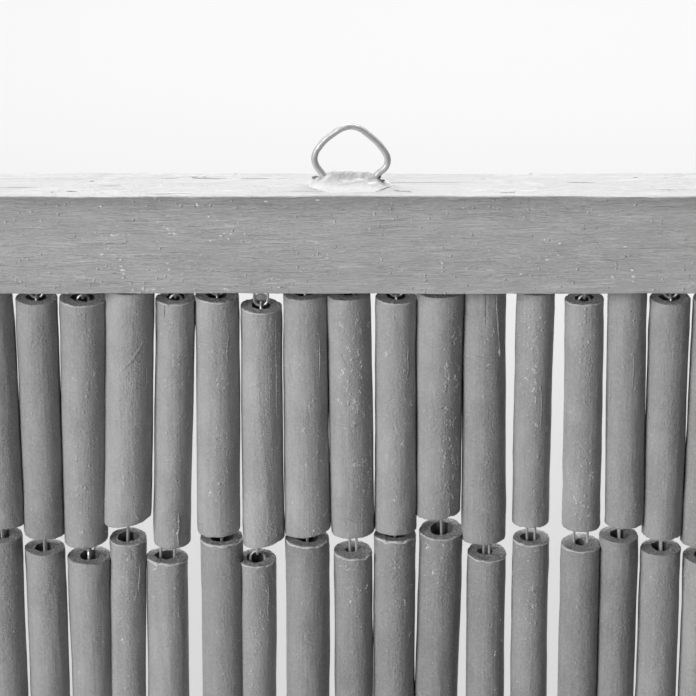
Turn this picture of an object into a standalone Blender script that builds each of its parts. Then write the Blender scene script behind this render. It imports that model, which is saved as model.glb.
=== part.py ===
"""Bead curtain of hollow bamboo tubes on a head rail, with two wire hanging loops set in glue.

Metres, +Z up, +X along the rail, -Y the front. The origin lies midway between the two loops, at the
height at which their crowns bear on a hook.
"""

import math

import bmesh
import bpy
from mathutils import Matrix, Vector

MM = 0.001
CLEARANCE = 0.3 * MM
WELD_DISTANCE = 0.001 * MM
SMOOTH_ANGLE = math.radians(50)

# Head rail
RAIL_LENGTH = 900.0 * MM
RAIL_DEPTH = 15.2 * MM
RAIL_HEIGHT = 20.2 * MM
RAIL_EDGE = 0.6 * MM
RAIL_EDGE_STEPS = 2

# Root strip, let into a groove in the rail's underside
STRIP_DEPTH = 4.0 * MM
STRIP_HEIGHT = 1.6 * MM
STRIP_END_INSET = 2.0 * MM

# Hanging loops
LOOP_INSET = 94.0 * MM
WIRE_DIAMETER = 1.25 * MM
WIRE_POINT_SPACING = 1.84 * WIRE_DIAMETER
ROUTE_SAMPLES = 12
LEG_DEPTH = 9.0 * MM
# Route of one loop's wire from its left leg to its right one, in mm: x from the loop's middle, then
# the height above the rail's top
LOOP_ROUTE = (
    (-4.8, -5.0),
    (-4.8, -1.5),
    (-4.85, 0.3),
    (-5.2, 1.5),
    (-6.0, 2.65),
    (-6.75, 3.7),
    (-7.15, 4.8),
    (-7.1, 5.9),
    (-6.6, 7.1),
    (-5.2, 8.95),
    (-3.4, 10.4),
    (-1.9, 11.4),
    (-0.1, 11.85),
    (1.7, 11.4),
    (3.2, 10.3),
    (5.15, 8.55),
    (6.6, 6.65),
    (7.15, 5.3),
    (7.05, 4.1),
    (6.45, 3.15),
    (5.5, 2.35),
    (4.85, 1.5),
    (4.7, 0.3),
    (4.8, -1.5),
    (4.8, -5.0),
)
LOOP_CROWN = 11.85 * MM

# Glue mounds round the feet of the loops
MOUND_WIDTH = 14.7 * MM
MOUND_DEPTH = 7.6 * MM
MOUND_HEIGHT = 3.0 * MM
MOUND_SEGMENTS = 20
MOUND_RINGS = 10

# Strands
STRAND_COUNT = 100
STRAND_PITCH = 9.0 * MM
STRAND_SIDES = 4
TUBES_PER_STRAND = 37
TUBE_PITCH = 53.7 * MM
LINK_GAP = 3.1 * MM
NECK_WIDTH = 1.4 * MM
SOLID_WIDTH_SHARE = 0.94
ROOT_SINK = 0.7 * MM
# The curtain repeats these strands, sizes in mm. offset: sideways from the even spacing. width: outer
# diameter of the first tube. drop: from the rail to the first tube. length: of the first tube.
# gap: from the first tube to the second. next_width and next_offset: the same of the second tube.
STRAND_COLUMNS = ("offset", "width", "drop", "length", "gap", "next_width", "next_offset")
STRAND_ROWS = (
    (0.0, 8.1, 3.3, 51.0, 3.2, 8.0, -0.1),
    (0.2, 8.9, 3.3, 52.5, 3.5, 8.6, -0.1),
    (0.3, 9.1, 0.8, 50.2, 4.2, 7.2, -0.6),
    (0.3, 8.1, 3.2, 53.0, 3.2, 8.3, -0.9),
    (0.1, 8.4, 2.7, 50.9, 1.5, 8.4, 0.2),
    (-0.4, 8.2, 5.0, 50.9, 4.0, 7.2, -1.0),
    (-0.5, 8.9, 2.2, 51.3, 1.8, 8.7, -0.4),
    (-0.4, 8.6, 2.2, 51.6, 4.3, 7.6, 0.0),
    (-0.5, 8.1, 3.0, 50.1, 1.4, 8.4, -0.5),
    (-0.6, 8.9, 1.6, 48.1, 3.7, 8.5, 0.0),
    (-0.4, 8.3, 0.8, 54.3, 3.4, 7.8, 0.3),
    (0.3, 7.6, 1.4, 50.4, 3.5, 7.3, 0.3),
    (0.9, 7.5, 3.4, 49.2, 3.9, 7.8, 0.7),
    (0.3, 7.6, 0.8, 51.1, 2.8, 7.9, 0.3),
)
FIRST_ROW_STRAND = 3

RAIL_TOP = -(LOOP_CROWN - WIRE_DIAMETER / 2)
RAIL_BOTTOM = RAIL_TOP - RAIL_HEIGHT
STRIP_LENGTH = RAIL_LENGTH - 2 * STRIP_END_INSET
LOOP_X = RAIL_LENGTH / 2 - LOOP_INSET


def clear_scene():
    """Remove the objects that a new file holds."""
    for item in list(bpy.data.objects):
        bpy.data.objects.remove(item, do_unlink=True)


def new_collection(name):
    """A collection linked to the scene."""
    group = bpy.data.collections.new(name)
    bpy.context.scene.collection.children.link(group)
    return group


def principled(name, colour, roughness, metallic):
    """A material of one colour."""
    material = bpy.data.materials.new(name)
    material.use_nodes = True
    shader = material.node_tree.nodes["Principled BSDF"]
    shader.inputs["Base Color"].default_value = (*colour, 1.0)
    shader.inputs["Roughness"].default_value = roughness
    shader.inputs["Metallic"].default_value = metallic
    return material


def paint_material():
    return principled("grey_paint", (0.36, 0.36, 0.36), 0.5, 0.0)


def bamboo_material():
    return principled("grey_bamboo", (0.33, 0.33, 0.33), 0.55, 0.0)


def wire_material():
    return principled("steel_wire", (0.45, 0.45, 0.45), 0.35, 0.9)


def glue_material():
    return principled("painted_glue", (0.40, 0.40, 0.40), 0.45, 0.0)


def mesh_object(name, mesh, group, material=None):
    """A named object that holds a mesh."""
    item = bpy.data.objects.new(name, mesh)
    group.objects.link(item)
    if material:
        mesh.materials.append(material)
    return item


def box_mesh(name, length, depth, height):
    """A box about its own middle."""
    shape = bmesh.new()
    bmesh.ops.create_cube(shape, size=1.0, matrix=Matrix.Diagonal((length, depth, height, 1.0)))
    mesh = bpy.data.meshes.new(name)
    shape.to_mesh(mesh)
    shape.free()
    return mesh


def as_cutter(item):
    """Keep a guide or cutter out of the render."""
    item.hide_render = True
    item.display_type = "WIRE"
    return item


def add_boolean(item, cutter, operation):
    """An exact Boolean with another object."""
    step = item.modifiers.new(cutter.name, "BOOLEAN")
    step.operation = operation
    step.solver = "EXACT"
    step.object = cutter


def evaluated_mesh(item):
    """The object's mesh after its modifiers, in world space, with loose caps welded."""
    bpy.context.view_layer.update()
    seen = item.evaluated_get(bpy.context.evaluated_depsgraph_get())
    mesh = bpy.data.meshes.new_from_object(seen)
    mesh.transform(item.matrix_world)
    shape = bmesh.new()
    shape.from_mesh(mesh)
    bmesh.ops.remove_doubles(shape, verts=shape.verts, dist=WELD_DISTANCE)
    bmesh.ops.recalc_face_normals(shape, faces=shape.faces)
    shape.to_mesh(mesh)
    shape.free()
    return mesh


def smooth_route(points, spacing):
    """Points at an even spacing on a Catmull-Rom curve through the route."""
    ends = [2 * points[0] - points[1], *points, 2 * points[-1] - points[-2]]
    dense = []
    for a, b, c, d in zip(ends, ends[1:], ends[2:], ends[3:]):
        for k in range(ROUTE_SAMPLES):
            t = k / ROUTE_SAMPLES
            bend = 2 * a - 5 * b + 4 * c - d
            twist = 3 * b - a - 3 * c + d
            dense.append(0.5 * (2 * b + (c - a) * t + bend * t * t + twist * t * t * t))
    dense.append(points[-1])
    lengths = [0.0]
    for p, q in zip(dense, dense[1:]):
        lengths.append(lengths[-1] + (q - p).length)
    count = max(2, round(lengths[-1] / spacing))
    spaced = []
    k = 0
    for n in range(count + 1):
        target = lengths[-1] * n / count
        while k < len(dense) - 2 and lengths[k + 1] < target:
            k += 1
        share = (target - lengths[k]) / (lengths[k + 1] - lengths[k])
        spaced.append(dense[k].lerp(dense[k + 1], min(1.0, share)))
    return spaced


def loop_wire_mesh(name, radius, leg_depth):
    """The bent wire of one loop about the loop's middle on the rail's top."""
    route = [Vector((x * MM, 0.0, z * MM)) for x, z in LOOP_ROUTE]
    left_end = Vector((route[0].x, 0.0, -leg_depth))
    right_end = Vector((route[-1].x, 0.0, -leg_depth))
    points = smooth_route([left_end, *route, right_end], WIRE_POINT_SPACING)
    curve = bpy.data.curves.new(name, "CURVE")
    curve.dimensions = "3D"
    curve.bevel_depth = radius
    curve.bevel_resolution = 2
    curve.use_fill_caps = True
    line = curve.splines.new("POLY")
    line.points.add(len(points) - 1)
    for target, point in zip(line.points, points):
        target.co = (*point, 1.0)
    carrier = bpy.data.objects.new(name, curve)
    bpy.context.scene.collection.objects.link(carrier)
    mesh = evaluated_mesh(carrier)
    bpy.data.objects.remove(carrier, do_unlink=True)
    bpy.data.curves.remove(curve)
    return mesh


def shade_round(mesh):
    """Smooth shading that keeps sharp edges."""
    mesh.shade_smooth()
    mesh.set_sharp_from_angle(angle=SMOOTH_ANGLE)


def build_loop_cutters(cutters):
    """The wire's own route with its clearance, once for each loop."""
    mesh = loop_wire_mesh("loop_clearance", WIRE_DIAMETER / 2 + CLEARANCE, LEG_DEPTH + CLEARANCE)
    found = []
    for side in (-1, 1):
        cutter = as_cutter(mesh_object("loop_clearance", mesh.copy(), cutters))
        cutter.location = (side * LOOP_X, 0.0, RAIL_TOP)
        found.append(cutter)
    return found


def build_rail(parts, cutters, loop_cutters, material):
    """The head rail, with the groove for the root strip and the holes for the loops' legs."""
    rail = mesh_object("rail", box_mesh("rail", RAIL_LENGTH, RAIL_DEPTH, RAIL_HEIGHT), parts, material)
    rail.location = (0.0, 0.0, (RAIL_TOP + RAIL_BOTTOM) / 2)
    edge = rail.modifiers.new("rounded_edges", "BEVEL")
    edge.width = RAIL_EDGE
    edge.segments = RAIL_EDGE_STEPS
    groove_height = 2 * (STRIP_HEIGHT + CLEARANCE)
    groove_mesh = box_mesh(
        "groove", STRIP_LENGTH + 2 * CLEARANCE, STRIP_DEPTH + 2 * CLEARANCE, groove_height
    )
    groove = as_cutter(mesh_object("groove", groove_mesh, cutters))
    groove.location = (0.0, 0.0, RAIL_BOTTOM)
    add_boolean(rail, groove, "DIFFERENCE")
    for cutter in loop_cutters:
        add_boolean(rail, cutter, "DIFFERENCE")
    return rail


def build_loops(parts, material):
    """The two hanging loops, each one bent wire."""
    mesh = loop_wire_mesh("loop", WIRE_DIAMETER / 2, LEG_DEPTH)
    shade_round(mesh)
    mesh.materials.append(material)
    for name, side in (("loop_left", -1), ("loop_right", 1)):
        loop = mesh_object(name, mesh, parts)
        loop.location = (side * LOOP_X, 0.0, RAIL_TOP)


def mound_mesh():
    """A low dome with a flat base."""
    shape = bmesh.new()
    bmesh.ops.create_uvsphere(shape, u_segments=MOUND_SEGMENTS, v_segments=MOUND_RINGS, radius=1.0)
    size = Vector((MOUND_WIDTH / 2, MOUND_DEPTH / 2, MOUND_HEIGHT))
    bmesh.ops.scale(shape, vec=size, verts=shape.verts)
    base = Vector((0.0, 0.0, CLEARANCE))
    geometry = [*shape.verts, *shape.edges, *shape.faces]
    bmesh.ops.bisect_plane(shape, geom=geometry, plane_co=base, plane_no=(0, 0, 1), clear_inner=True)
    bmesh.ops.holes_fill(shape, edges=shape.edges)
    bmesh.ops.recalc_face_normals(shape, faces=shape.faces)
    mesh = bpy.data.meshes.new("mound")
    shape.to_mesh(mesh)
    shape.free()
    return mesh


def build_mounds(parts, loop_cutters, material):
    """A glue mound round the feet of each loop."""
    for name, side, cutter in zip(("mound_left", "mound_right"), (-1, 1), loop_cutters):
        mound = mesh_object(name, mound_mesh(), parts, material)
        mound.location = (side * LOOP_X, 0.0, RAIL_TOP)
        add_boolean(mound, cutter, "DIFFERENCE")


def strand_row(number):
    """The named sizes of one strand, in metres."""
    row = STRAND_ROWS[(number - FIRST_ROW_STRAND) % len(STRAND_ROWS)]
    return {name: value * MM for name, value in zip(STRAND_COLUMNS, row)}


def strand_sections(sizes):
    """Rows of x offset, width and height down one strand, from its root to its foot."""
    width = sizes["width"] * SOLID_WIDTH_SHARE
    next_width = sizes["next_width"] * SOLID_WIDTH_SHARE
    here = sizes["offset"]
    below = sizes["next_offset"]
    first_top = RAIL_BOTTOM - sizes["drop"]
    first_end = first_top - sizes["length"]
    second_top = first_end - sizes["gap"]
    second_end = second_top - (TUBE_PITCH - LINK_GAP)
    third_top = second_end - LINK_GAP
    foot = second_top - (TUBES_PER_STRAND - 1) * TUBE_PITCH + LINK_GAP
    return (
        (here, NECK_WIDTH, RAIL_BOTTOM + ROOT_SINK),
        (here, NECK_WIDTH, first_top),
        (here, width, first_top),
        (here, width, first_end),
        (below, NECK_WIDTH, first_end),
        (below, NECK_WIDTH, second_top),
        (below, next_width, second_top),
        (below, next_width, second_end),
        (below, NECK_WIDTH, second_end),
        (below, NECK_WIDTH, third_top),
        (below, next_width, third_top),
        (below, next_width, foot),
    )


def add_strand(shape, x, sections):
    """One closed bar of square sections, face on to the front."""
    corners = [(-0.5, -0.5), (0.5, -0.5), (0.5, 0.5), (-0.5, 0.5)]
    rings = []
    for offset, width, height in sections:
        ring = [shape.verts.new((x + offset + a * width, b * width, height)) for a, b in corners]
        rings.append(ring)
    for upper, lower in zip(rings, rings[1:]):
        for k in range(STRAND_SIDES):
            after = (k + 1) % STRAND_SIDES
            shape.faces.new((upper[k], lower[k], lower[after], upper[after]))
    shape.faces.new(rings[0])
    shape.faces.new(rings[-1][::-1])


def build_strands(parts, cutters, material):
    """All strands, rooted in the strip that the rail's groove holds."""
    shape = bmesh.new()
    for number in range(STRAND_COUNT):
        x = (number - (STRAND_COUNT - 1) / 2) * STRAND_PITCH
        add_strand(shape, x, strand_sections(strand_row(number)))
    bmesh.ops.recalc_face_normals(shape, faces=shape.faces)
    mesh = bpy.data.meshes.new("hanging_strands")
    shape.to_mesh(mesh)
    shape.free()
    hanging = as_cutter(mesh_object("hanging_strands", mesh, cutters))
    strip_mesh = box_mesh("strands", STRIP_LENGTH, STRIP_DEPTH, STRIP_HEIGHT)
    strands = mesh_object("strands", strip_mesh, parts, material)
    strands.location = (0.0, 0.0, RAIL_BOTTOM + STRIP_HEIGHT / 2)
    add_boolean(strands, hanging, "UNION")


def main():
    clear_scene()
    parts = new_collection("bead_curtain")
    cutters = new_collection("cutters")
    loop_cutters = build_loop_cutters(cutters)
    build_rail(parts, cutters, loop_cutters, paint_material())
    build_loops(parts, wire_material())
    build_mounds(parts, loop_cutters, glue_material())
    build_strands(parts, cutters, bamboo_material())


main()
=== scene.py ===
"""Bamboo bead curtain: the finish of the head rail, its wire loops and the tubes on their wire rings."""

import math

import bpy
import numpy as np
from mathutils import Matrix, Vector


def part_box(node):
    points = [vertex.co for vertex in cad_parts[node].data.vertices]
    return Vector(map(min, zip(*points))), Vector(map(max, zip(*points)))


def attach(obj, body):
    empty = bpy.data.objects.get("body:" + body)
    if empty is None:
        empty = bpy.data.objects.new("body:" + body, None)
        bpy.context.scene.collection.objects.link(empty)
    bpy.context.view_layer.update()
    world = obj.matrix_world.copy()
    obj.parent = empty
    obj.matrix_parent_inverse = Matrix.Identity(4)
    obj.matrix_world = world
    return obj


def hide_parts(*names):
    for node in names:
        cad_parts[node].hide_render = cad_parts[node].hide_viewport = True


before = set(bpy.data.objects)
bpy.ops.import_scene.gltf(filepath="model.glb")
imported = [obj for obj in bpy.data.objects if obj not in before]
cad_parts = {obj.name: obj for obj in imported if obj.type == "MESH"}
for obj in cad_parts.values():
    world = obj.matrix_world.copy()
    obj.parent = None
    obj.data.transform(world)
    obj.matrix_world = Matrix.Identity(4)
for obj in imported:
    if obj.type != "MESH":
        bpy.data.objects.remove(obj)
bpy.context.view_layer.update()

bl_info = {
    "name": "Bamboo bead curtain",
    "version": (1, 0, 0),
    "blender": (4, 5, 0),
    "location": "View3D > Sidebar > Curtain",
    "description": "Models a bead curtain of bamboo tubes on a painted head rail",
    "category": "Mesh",
}

MM = 0.001
BODY = "root"
FULL_TURN = 2 * math.pi

# What each piece's random numbers start from
SEEDS = {
    "rail": 11, "lumps": 19, "mound": 5, "loop": 3, "tone": 77,
    "strand": 1000, "fine": 31, "grains": 400, "rings": 5000,
}

RAIL_LOW, RAIL_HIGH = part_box("rail")
RAIL_LENGTH, RAIL_DEPTH, RAIL_HEIGHT = RAIL_HIGH - RAIL_LOW
RAIL_TOP = RAIL_HIGH.z
RAIL_BOTTOM = RAIL_LOW.z
FLOOR_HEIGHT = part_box("strands")[0].z - 30 * MM

# Strands, as the solids have them
STRAND_COUNT = 100
STRAND_PITCH = 9.0 * MM
TUBES_PER_STRAND = 37
TUBE_PITCH = 53.7 * MM
LINK_GAP = 3.1 * MM
FIRST_ROW_STRAND = 3
LOOP_X = 356.0 * MM
STRAND_MIDDLE = (STRAND_COUNT - 1) / 2
STRAND_COLUMNS = ("offset", "width", "drop", "length", "gap", "next_width", "next_offset")
STRAND_ROWS = (
    (0.0, 8.1, 3.3, 51.0, 3.2, 8.0, -0.1),
    (0.2, 8.9, 3.3, 52.5, 3.5, 8.6, -0.1),
    (0.6, 9.1, 0.8, 50.2, 4.2, 7.2, -0.6),
    (0.65, 8.1, 3.2, 53.0, 3.2, 8.3, -0.9),
    (-0.1, 8.4, 2.7, 50.9, 1.5, 8.4, 0.2),
    (-0.4, 8.2, 5.0, 50.9, 4.0, 7.2, -1.0),
    (-0.6, 8.9, 2.2, 51.3, 1.8, 8.7, -0.4),
    (-1.05, 8.6, 2.2, 51.6, 4.3, 7.6, 0.0),
    (-0.5, 8.1, 3.0, 50.1, 1.4, 8.4, -0.5),
    (-0.7, 8.9, 1.6, 48.1, 3.7, 8.5, 0.0),
    (-1.0, 8.3, 0.8, 54.3, 3.4, 7.8, 0.3),
    (0.2, 7.6, 1.4, 50.4, 3.5, 7.3, 0.3),
    (0.9, 7.5, 3.4, 49.2, 3.9, 7.8, 0.7),
    (0.4, 7.6, 0.8, 51.1, 2.8, 7.9, 0.3),
)

# The stretch under the left loop is modelled finely
FINE_FIRST = 2
FINE_LAST = 18
FINE_ROWS = 2

# How the fine strands differ from plain ones, sizes in mm.
# top, bottom: change of the outer diameter at the first tube's ends
# foot: sideways shift of the first tube's lower end
# rise: how much its lower cut rises to the right, for each mm
# lean: sideways shift of the second tube's lower end
# bore, next_bore: bore of the first and second tube as a share of its outer diameter
# off: sideways shift of the second tube's bore
# tilt: how much the second tube's mouth rises to the back, for each mm
# facing: 1 if the first tube's wire ring faces the front, 0 if it is seen edge on
# link: height of the link of both rings over the second tube's mouth
# spread: width between the wires of the ring that faces the front
# side: sideways shift of the second tube's upper end
# shade, next_shade: how much lighter the first and second tube are made
FINE_COLUMNS = (
    "top", "bottom", "foot", "rise", "lean", "bore", "next_bore", "off", "tilt", "facing", "link",
    "spread", "side", "shade", "next_shade",
)
BARE_COLUMNS = ("rise", "bore", "next_bore", "tilt", "facing", "shade", "next_shade")
FINE_STRANDS = (
    (0.0, 0.0, 0.0, 0.0, 0.0, 0.50, 0.50, 0.0, 0.05, 0, -2.0, 2.2, 0.0, -0.2, -0.1),
    (0.4, -0.2, -0.9, 0.05, 0.2, 0.50, 0.50, 0.1, 0.05, 1, 1.0, 2.4, 0.0, -0.23, 0),
    (0.6, 0.7, -1.8, 0.15, -1.2, 0.50, 0.58, 0.0, 0.12, 0, -2.4, 2.0, -0.5, 0.32, 0.1),
    (-0.3, -0.6, -1.75, 0.0, -0.5, 0.50, 0.52, -0.3, 0.0, 1, -2.2, 2.85, -1.2, -0.06, 0.38),
    (0.1, 0.1, -0.4, 0.05, 0.0, 0.50, 0.62, 0.0, 0.05, 0, -2.0, 2.2, -0.1, 0.1, 0),
    (-0.1, 0.2, 0.0, 0.17, -0.3, 0.50, 0.60, -0.1, 0.12, 0, 0.9, 3.0, -0.6, 0.14, 0.21),
    (-0.3, 0.2, 0.2, 0.15, 0.0, 0.50, 0.56, -0.2, 0.04, 0, -2.4, 2.2, 0.0, 0.34, -0.1),
    (0.2, 0.2, 0.9, 0.03, 0.2, 0.50, 0.29, -0.55, 0.10, 1, -2.4, 1.3, 0.0, 0.11, -0.57),
    (0.0, 0.5, 0.15, 0.0, 0.0, 0.50, 0.58, -0.1, -0.04, 0, -2.0, 2.0, 0.0, 0, -0.51),
    (0.55, 0.0, -0.1, 0.08, -1.0, 0.50, 0.57, 0.0, 0.14, 0, -2.4, 2.0, 0.0, 0.14, -0.75),
    (-0.1, 0.6, 0.5, 0.02, 0.2, 0.50, 0.38, -0.25, 0.12, 1, -2.4, 1.1, 0.0, -0.4, -0.49),
    (-0.1, -0.3, -0.15, 0.02, 0.3, 0.50, 0.54, -0.2, 0.05, 1, -2.4, 1.6, 0.0, -0.32, -0.17),
    (0.0, 0.0, 0.6, 0.0, 0.1, 0.50, 0.33, -0.25, 0.08, 1, -2.4, 2.75, 0.8, -0.08, -0.3),
    (-0.1, 0.1, 0.9, 0.0, 0.0, 0.50, 0.50, 0.0, 0.05, 0, -2.0, 2.2, 0.0, -0.52, -0.3),
)

# Fine tube: sides, cuts along it, cuts across the wall at its ends, rounding of its rims
FINE_SIDES = 72
FINE_CUTS = 32
FINE_WALL_CUTS = 4
FINE_RIM = 0.022
PLAIN_SIDES = 12
MASTER_BORE = 0.5
PLAIN_GROUPS = 4
RING_GROUPS = 2

# Points along a hanging loop's wire, and how finely it is rounded
LOOP_POINTS = 140
LOOP_ROUNDNESS = 10

# Route of one loop's wire, in mm: x from the loop's middle, then the height above the rail's top
LOOP_ROUTE = (
    (-4.8, -5.0), (-4.8, -1.5), (-4.85, 0.3), (-5.2, 1.5), (-6.0, 2.65), (-6.75, 3.7), (-7.15, 4.8),
    (-7.1, 5.9), (-6.6, 7.1), (-5.2, 8.95), (-3.4, 10.4), (-1.9, 11.4), (-0.1, 11.85), (1.7, 11.4),
    (3.2, 10.3), (5.15, 8.55), (6.6, 6.65), (7.15, 5.3), (7.05, 4.1), (6.45, 3.15), (5.5, 2.35),
    (4.85, 1.5), (4.7, 0.3), (4.8, -1.5), (4.8, -5.0),
)

# Seams and cracks in the paint of the fine tubes: strand, row, half width and height in mm, slot
# (0 paint, 2 dark), then the route as turns to the right of the front in degrees and mm down
SEAM_SIDES = 6
PAINTED_EYE = 8
SEAMS = (
    (5, 0, 0.42, 0.13, 0, ((-14, 16.6), (-2, 15.1), (10, 14.2), (18, 13.1), (27, 12.0), (36, 10.7))),
    (5, 0, 0.14, 0.09, 0, ((48, 16.0), (52, 18.0), (50, 20.5))),
    (6, 0, 0.09, 0.03, 2, ((-31, 0.1), (-30, 1.6), (-32, 3.3))),
    (6, 0, 0.26, 0.05, 2, ((-19, 0.0), (-18, 0.2), (-20, 0.5))),
    (6, 0, 0.26, 0.20, 0, ((22, 45.5), (24, 48.0), (21, 50.3), (24, 52.4))),
    (7, 0, 0.12, 0.08, 0, ((30, 6.0), (33, 8.0), (28, 10.5), (31, 13.0))),
    (8, 0, 0.14, 0.11, 0, ((45, 0.3), (46, 4.0), (45, 9.0), (47, 14.0), (46, 18.0), (47, 22.7))),
    (8, 0, 0.30, 0.14, 0, ((-22, 0.5), (-12, 0.6), (-4, 0.4))),
    (9, 0, 0.12, 0.08, 0, ((-52, 12.0), (-44, 15.0), (-36, 17.5))),
    (9, 0, 0.12, 0.09, 0, ((38, 8.0), (40, 12.0), (37, 17.0))),
    (10, 0, 0.16, 0.10, 0, ((-35, 11.0), (-22, 11.8), (-10, 13.8), (-3, 14.4))),
    (10, 0, 0.22, 0.09, 0, ((-44, 47.8), (-15, 47.3), (10, 48.1), (38, 47.4))),
    (10, 0, 0.13, 0.08, 0, ((8, 9.0), (14, 8.0), (16, 6.6))),
    (11, 0, 0.14, 0.10, 0, ((36, 9.3), (33, 11.5), (35, 14.0), (30, 16.4))),
    (11, 0, 0.14, 0.10, 0, ((58, 11.9), (60, 14.0), (55, 17.3))),
    (11, 0, 0.13, 0.07, 0, ((20, 17.5), (32, 17.0), (45, 16.8))),
    (12, 0, 0.16, 0.12, 0, ((26, 44.0), (30, 46.0), (27, 48.0))),
    (12, 0, 0.22, 0.12, 0, ((10, 42.3), (20, 41.8), (30, 42.1))),
    (13, 0, 0.08, 0.02, 2, ((0, 0.1), (0, 3.0), (1, 7.0))),
    (13, 0, 0.18, 0.13, 0, ((34, 0.5), (33, 3.0), (37, 6.5), (41, 10.0), (44, 12.6))),
    (13, 0, 0.30, 0.24, 0, ((44, 12.2), (45, 13.0), (45, 14.0))),
    (13, 0, 0.13, 0.07, 0, ((-36, 13.2), (-20, 13.6), (-8, 13.7), (3, 13.3))),
    (14, 0, 0.13, 0.09, 0, ((20, 20.0), (24, 24.0), (21, 29.0))),
    (15, 0, 0.13, 0.09, 0, ((-20, 30.0), (-12, 31.0), (-4, 33.5))),
    (16, 0, 0.15, 0.10, 0, ((15, 12.0), (18, 16.0), (14, 21.0))),
    (5, 1, 0.10, 0.03, 2, ((12, 1.2), (14, 2.4), (13, 3.6))),
    (5, 1, 0.20, 0.14, 0, ((40, 4.0), (44, 7.0), (39, 11.0))),
    (8, 1, 0.14, 0.09, 0, ((35, 3.0), (38, 6.0), (36, 12.0))),
)

# Lumpy bead of paint on the front of a tube's upper rim, in the lighter paint that is a painted
# highlight: strand, row, half width and height in mm
RIM_BEADS = (
    (4, 0, 0.13, 0.09), (6, 0, 0.13, 0.09), (7, 0, 0.15, 0.11), (8, 0, 0.15, 0.12), (11, 0, 0.13, 0.09),
    (15, 0, 0.15, 0.10), (5, 1, 0.20, 0.15), (6, 1, 0.27, 0.20), (7, 1, 0.32, 0.24), (8, 1, 0.27, 0.20),
    (9, 1, 0.33, 0.24), (10, 1, 0.32, 0.24), (11, 1, 0.30, 0.20), (12, 1, 0.30, 0.20),
    (13, 1, 0.22, 0.16), (14, 1, 0.22, 0.16), (15, 1, 0.20, 0.14),
)

# Patches where the paint on a fine tube is pimpled: strand, row, middle and reach as turns in
# degrees, middle and reach down in mm, strength, raised grains
PIMPLED = (
    (4, 0, 20, 50, 28, 24, 0.3, 5), (5, 0, 30, 40, 30, 24, 0.2, 5), (6, 0, 30, 40, 26, 26, 0.3, 8),
    (7, 0, 15, 45, 26, 26, 0.5, 14), (8, 0, 35, 30, 26, 26, 0.6, 14), (9, 0, 30, 35, 36, 18, 0.4, 16),
    (10, 0, 35, 32, 24, 20, 1.0, 100), (10, 0, -15, 20, 14, 10, 0.7, 24),
    (11, 0, 10, 45, 22, 20, 0.5, 14), (12, 0, 38, 28, 26, 22, 1.0, 130),
    (13, 0, 20, 45, 20, 18, 0.3, 5), (14, 0, -15, 35, 14, 9, 0.9, 22), (14, 0, 20, 35, 34, 14, 0.4, 8),
    (15, 0, 10, 40, 26, 24, 0.4, 10), (5, 1, 20, 45, 12, 12, 0.5, 6), (6, 1, 10, 50, 8, 10, 0.5, 7),
    (8, 1, 15, 45, 12, 14, 0.5, 8), (10, 1, 10, 45, 8, 10, 0.5, 7), (11, 1, 20, 40, 12, 14, 0.6, 10),
    (12, 1, 0, 50, 10, 12, 0.5, 7), (13, 1, 25, 40, 10, 12, 0.5, 7), (14, 1, 5, 50, 10, 12, 0.6, 9),
)
PLAIN_PIMPLES = 0.3

# How much darker the tubes below the first row are made, a painted shade for the light that falls off
# lower down, and the mean shade of those below the second
LOWER_PAINTED_SHADE = 0.22
LOWER_SHADE = -0.19

# Dried lumps of paint on the rail's front, in mm: x from the left loop, way down, radius
RAIL_LUMPS = (
    (-37.5, 5.3, 0.22), (-25.3, 8.1, 0.26), (-27.4, 9.1, 0.26), (-24.6, 7.6, 0.17), (-23.8, 8.8, 0.21),
    (-23.3, 7.7, 0.17), (-28.2, 9.0, 0.19), (-22.0, 5.4, 0.22), (-27.6, 4.2, 0.21), (-29.5, 7.3, 0.19),
    (-29.9, 1.9, 0.22), (-20.7, 7.7, 0.21), (-46.5, 8.0, 0.30), (-45.9, 8.0, 0.21), (-45.4, 7.8, 0.21),
    (-44.4, 8.0, 0.19), (-45.5, 6.1, 0.22), (-48.6, 8.0, 0.21), (-47.7, 8.8, 0.19), (-45.0, 13.1, 0.26),
    (-44.9, 14.4, 0.19), (-44.6, 15.2, 0.30), (-44.4, 15.9, 0.21), (-44.6, 16.8, 0.21),
    (-35.9, 13.8, 0.21), (-35.6, 15.1, 0.21), (-34.3, 7.7, 0.24), (-36.4, 6.2, 0.19), (-35.3, 7.6, 0.21),
    (-42.7, 19.3, 0.21), (-40.7, 19.1, 0.24), (-39.9, 19.4, 0.19), (-38.6, 19.2, 0.21),
    (-37.0, 19.0, 0.19), (-24.6, 19.1, 0.24), (-24.1, 19.3, 0.19), (-6.6, 9.6, 0.22), (-4.6, 11.9, 0.19),
    (-16.6, 13.3, 0.24), (-9.8, 15.4, 0.19), (-15.4, 17.0, 0.19), (-16.5, 1.1, 0.24), (-6.5, 0.8, 0.21),
    (-29.9, 1.6, 0.21), (55.2, 15.2, 0.24), (55.4, 16.5, 0.30), (55.3, 17.5, 0.21),
)

# Raised brush marks on the rail's front, in mm: x from the left loop and way down at both ends
RAIL_THREADS = (
    (-49.1, 12.07, -36.9, 11.97), (-49.0, 10.21, -46.7, 10.15), (-36.2, 4.03, -32.9, 3.97),
    (-24.9, 6.08, -22.0, 5.96), (-6.1, 9.90, -3.7, 9.86), (-56.9, 13.58, -50.7, 13.37),
    (6.6, 8.63, 15.4, 8.55), (32.9, 6.58, 40.7, 6.66), (19.4, 15.23, 29.2, 15.36),
    (42.8, 13.58, 50.6, 13.37), (-19.8, 18.35, -10.0, 17.51),
)

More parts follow.
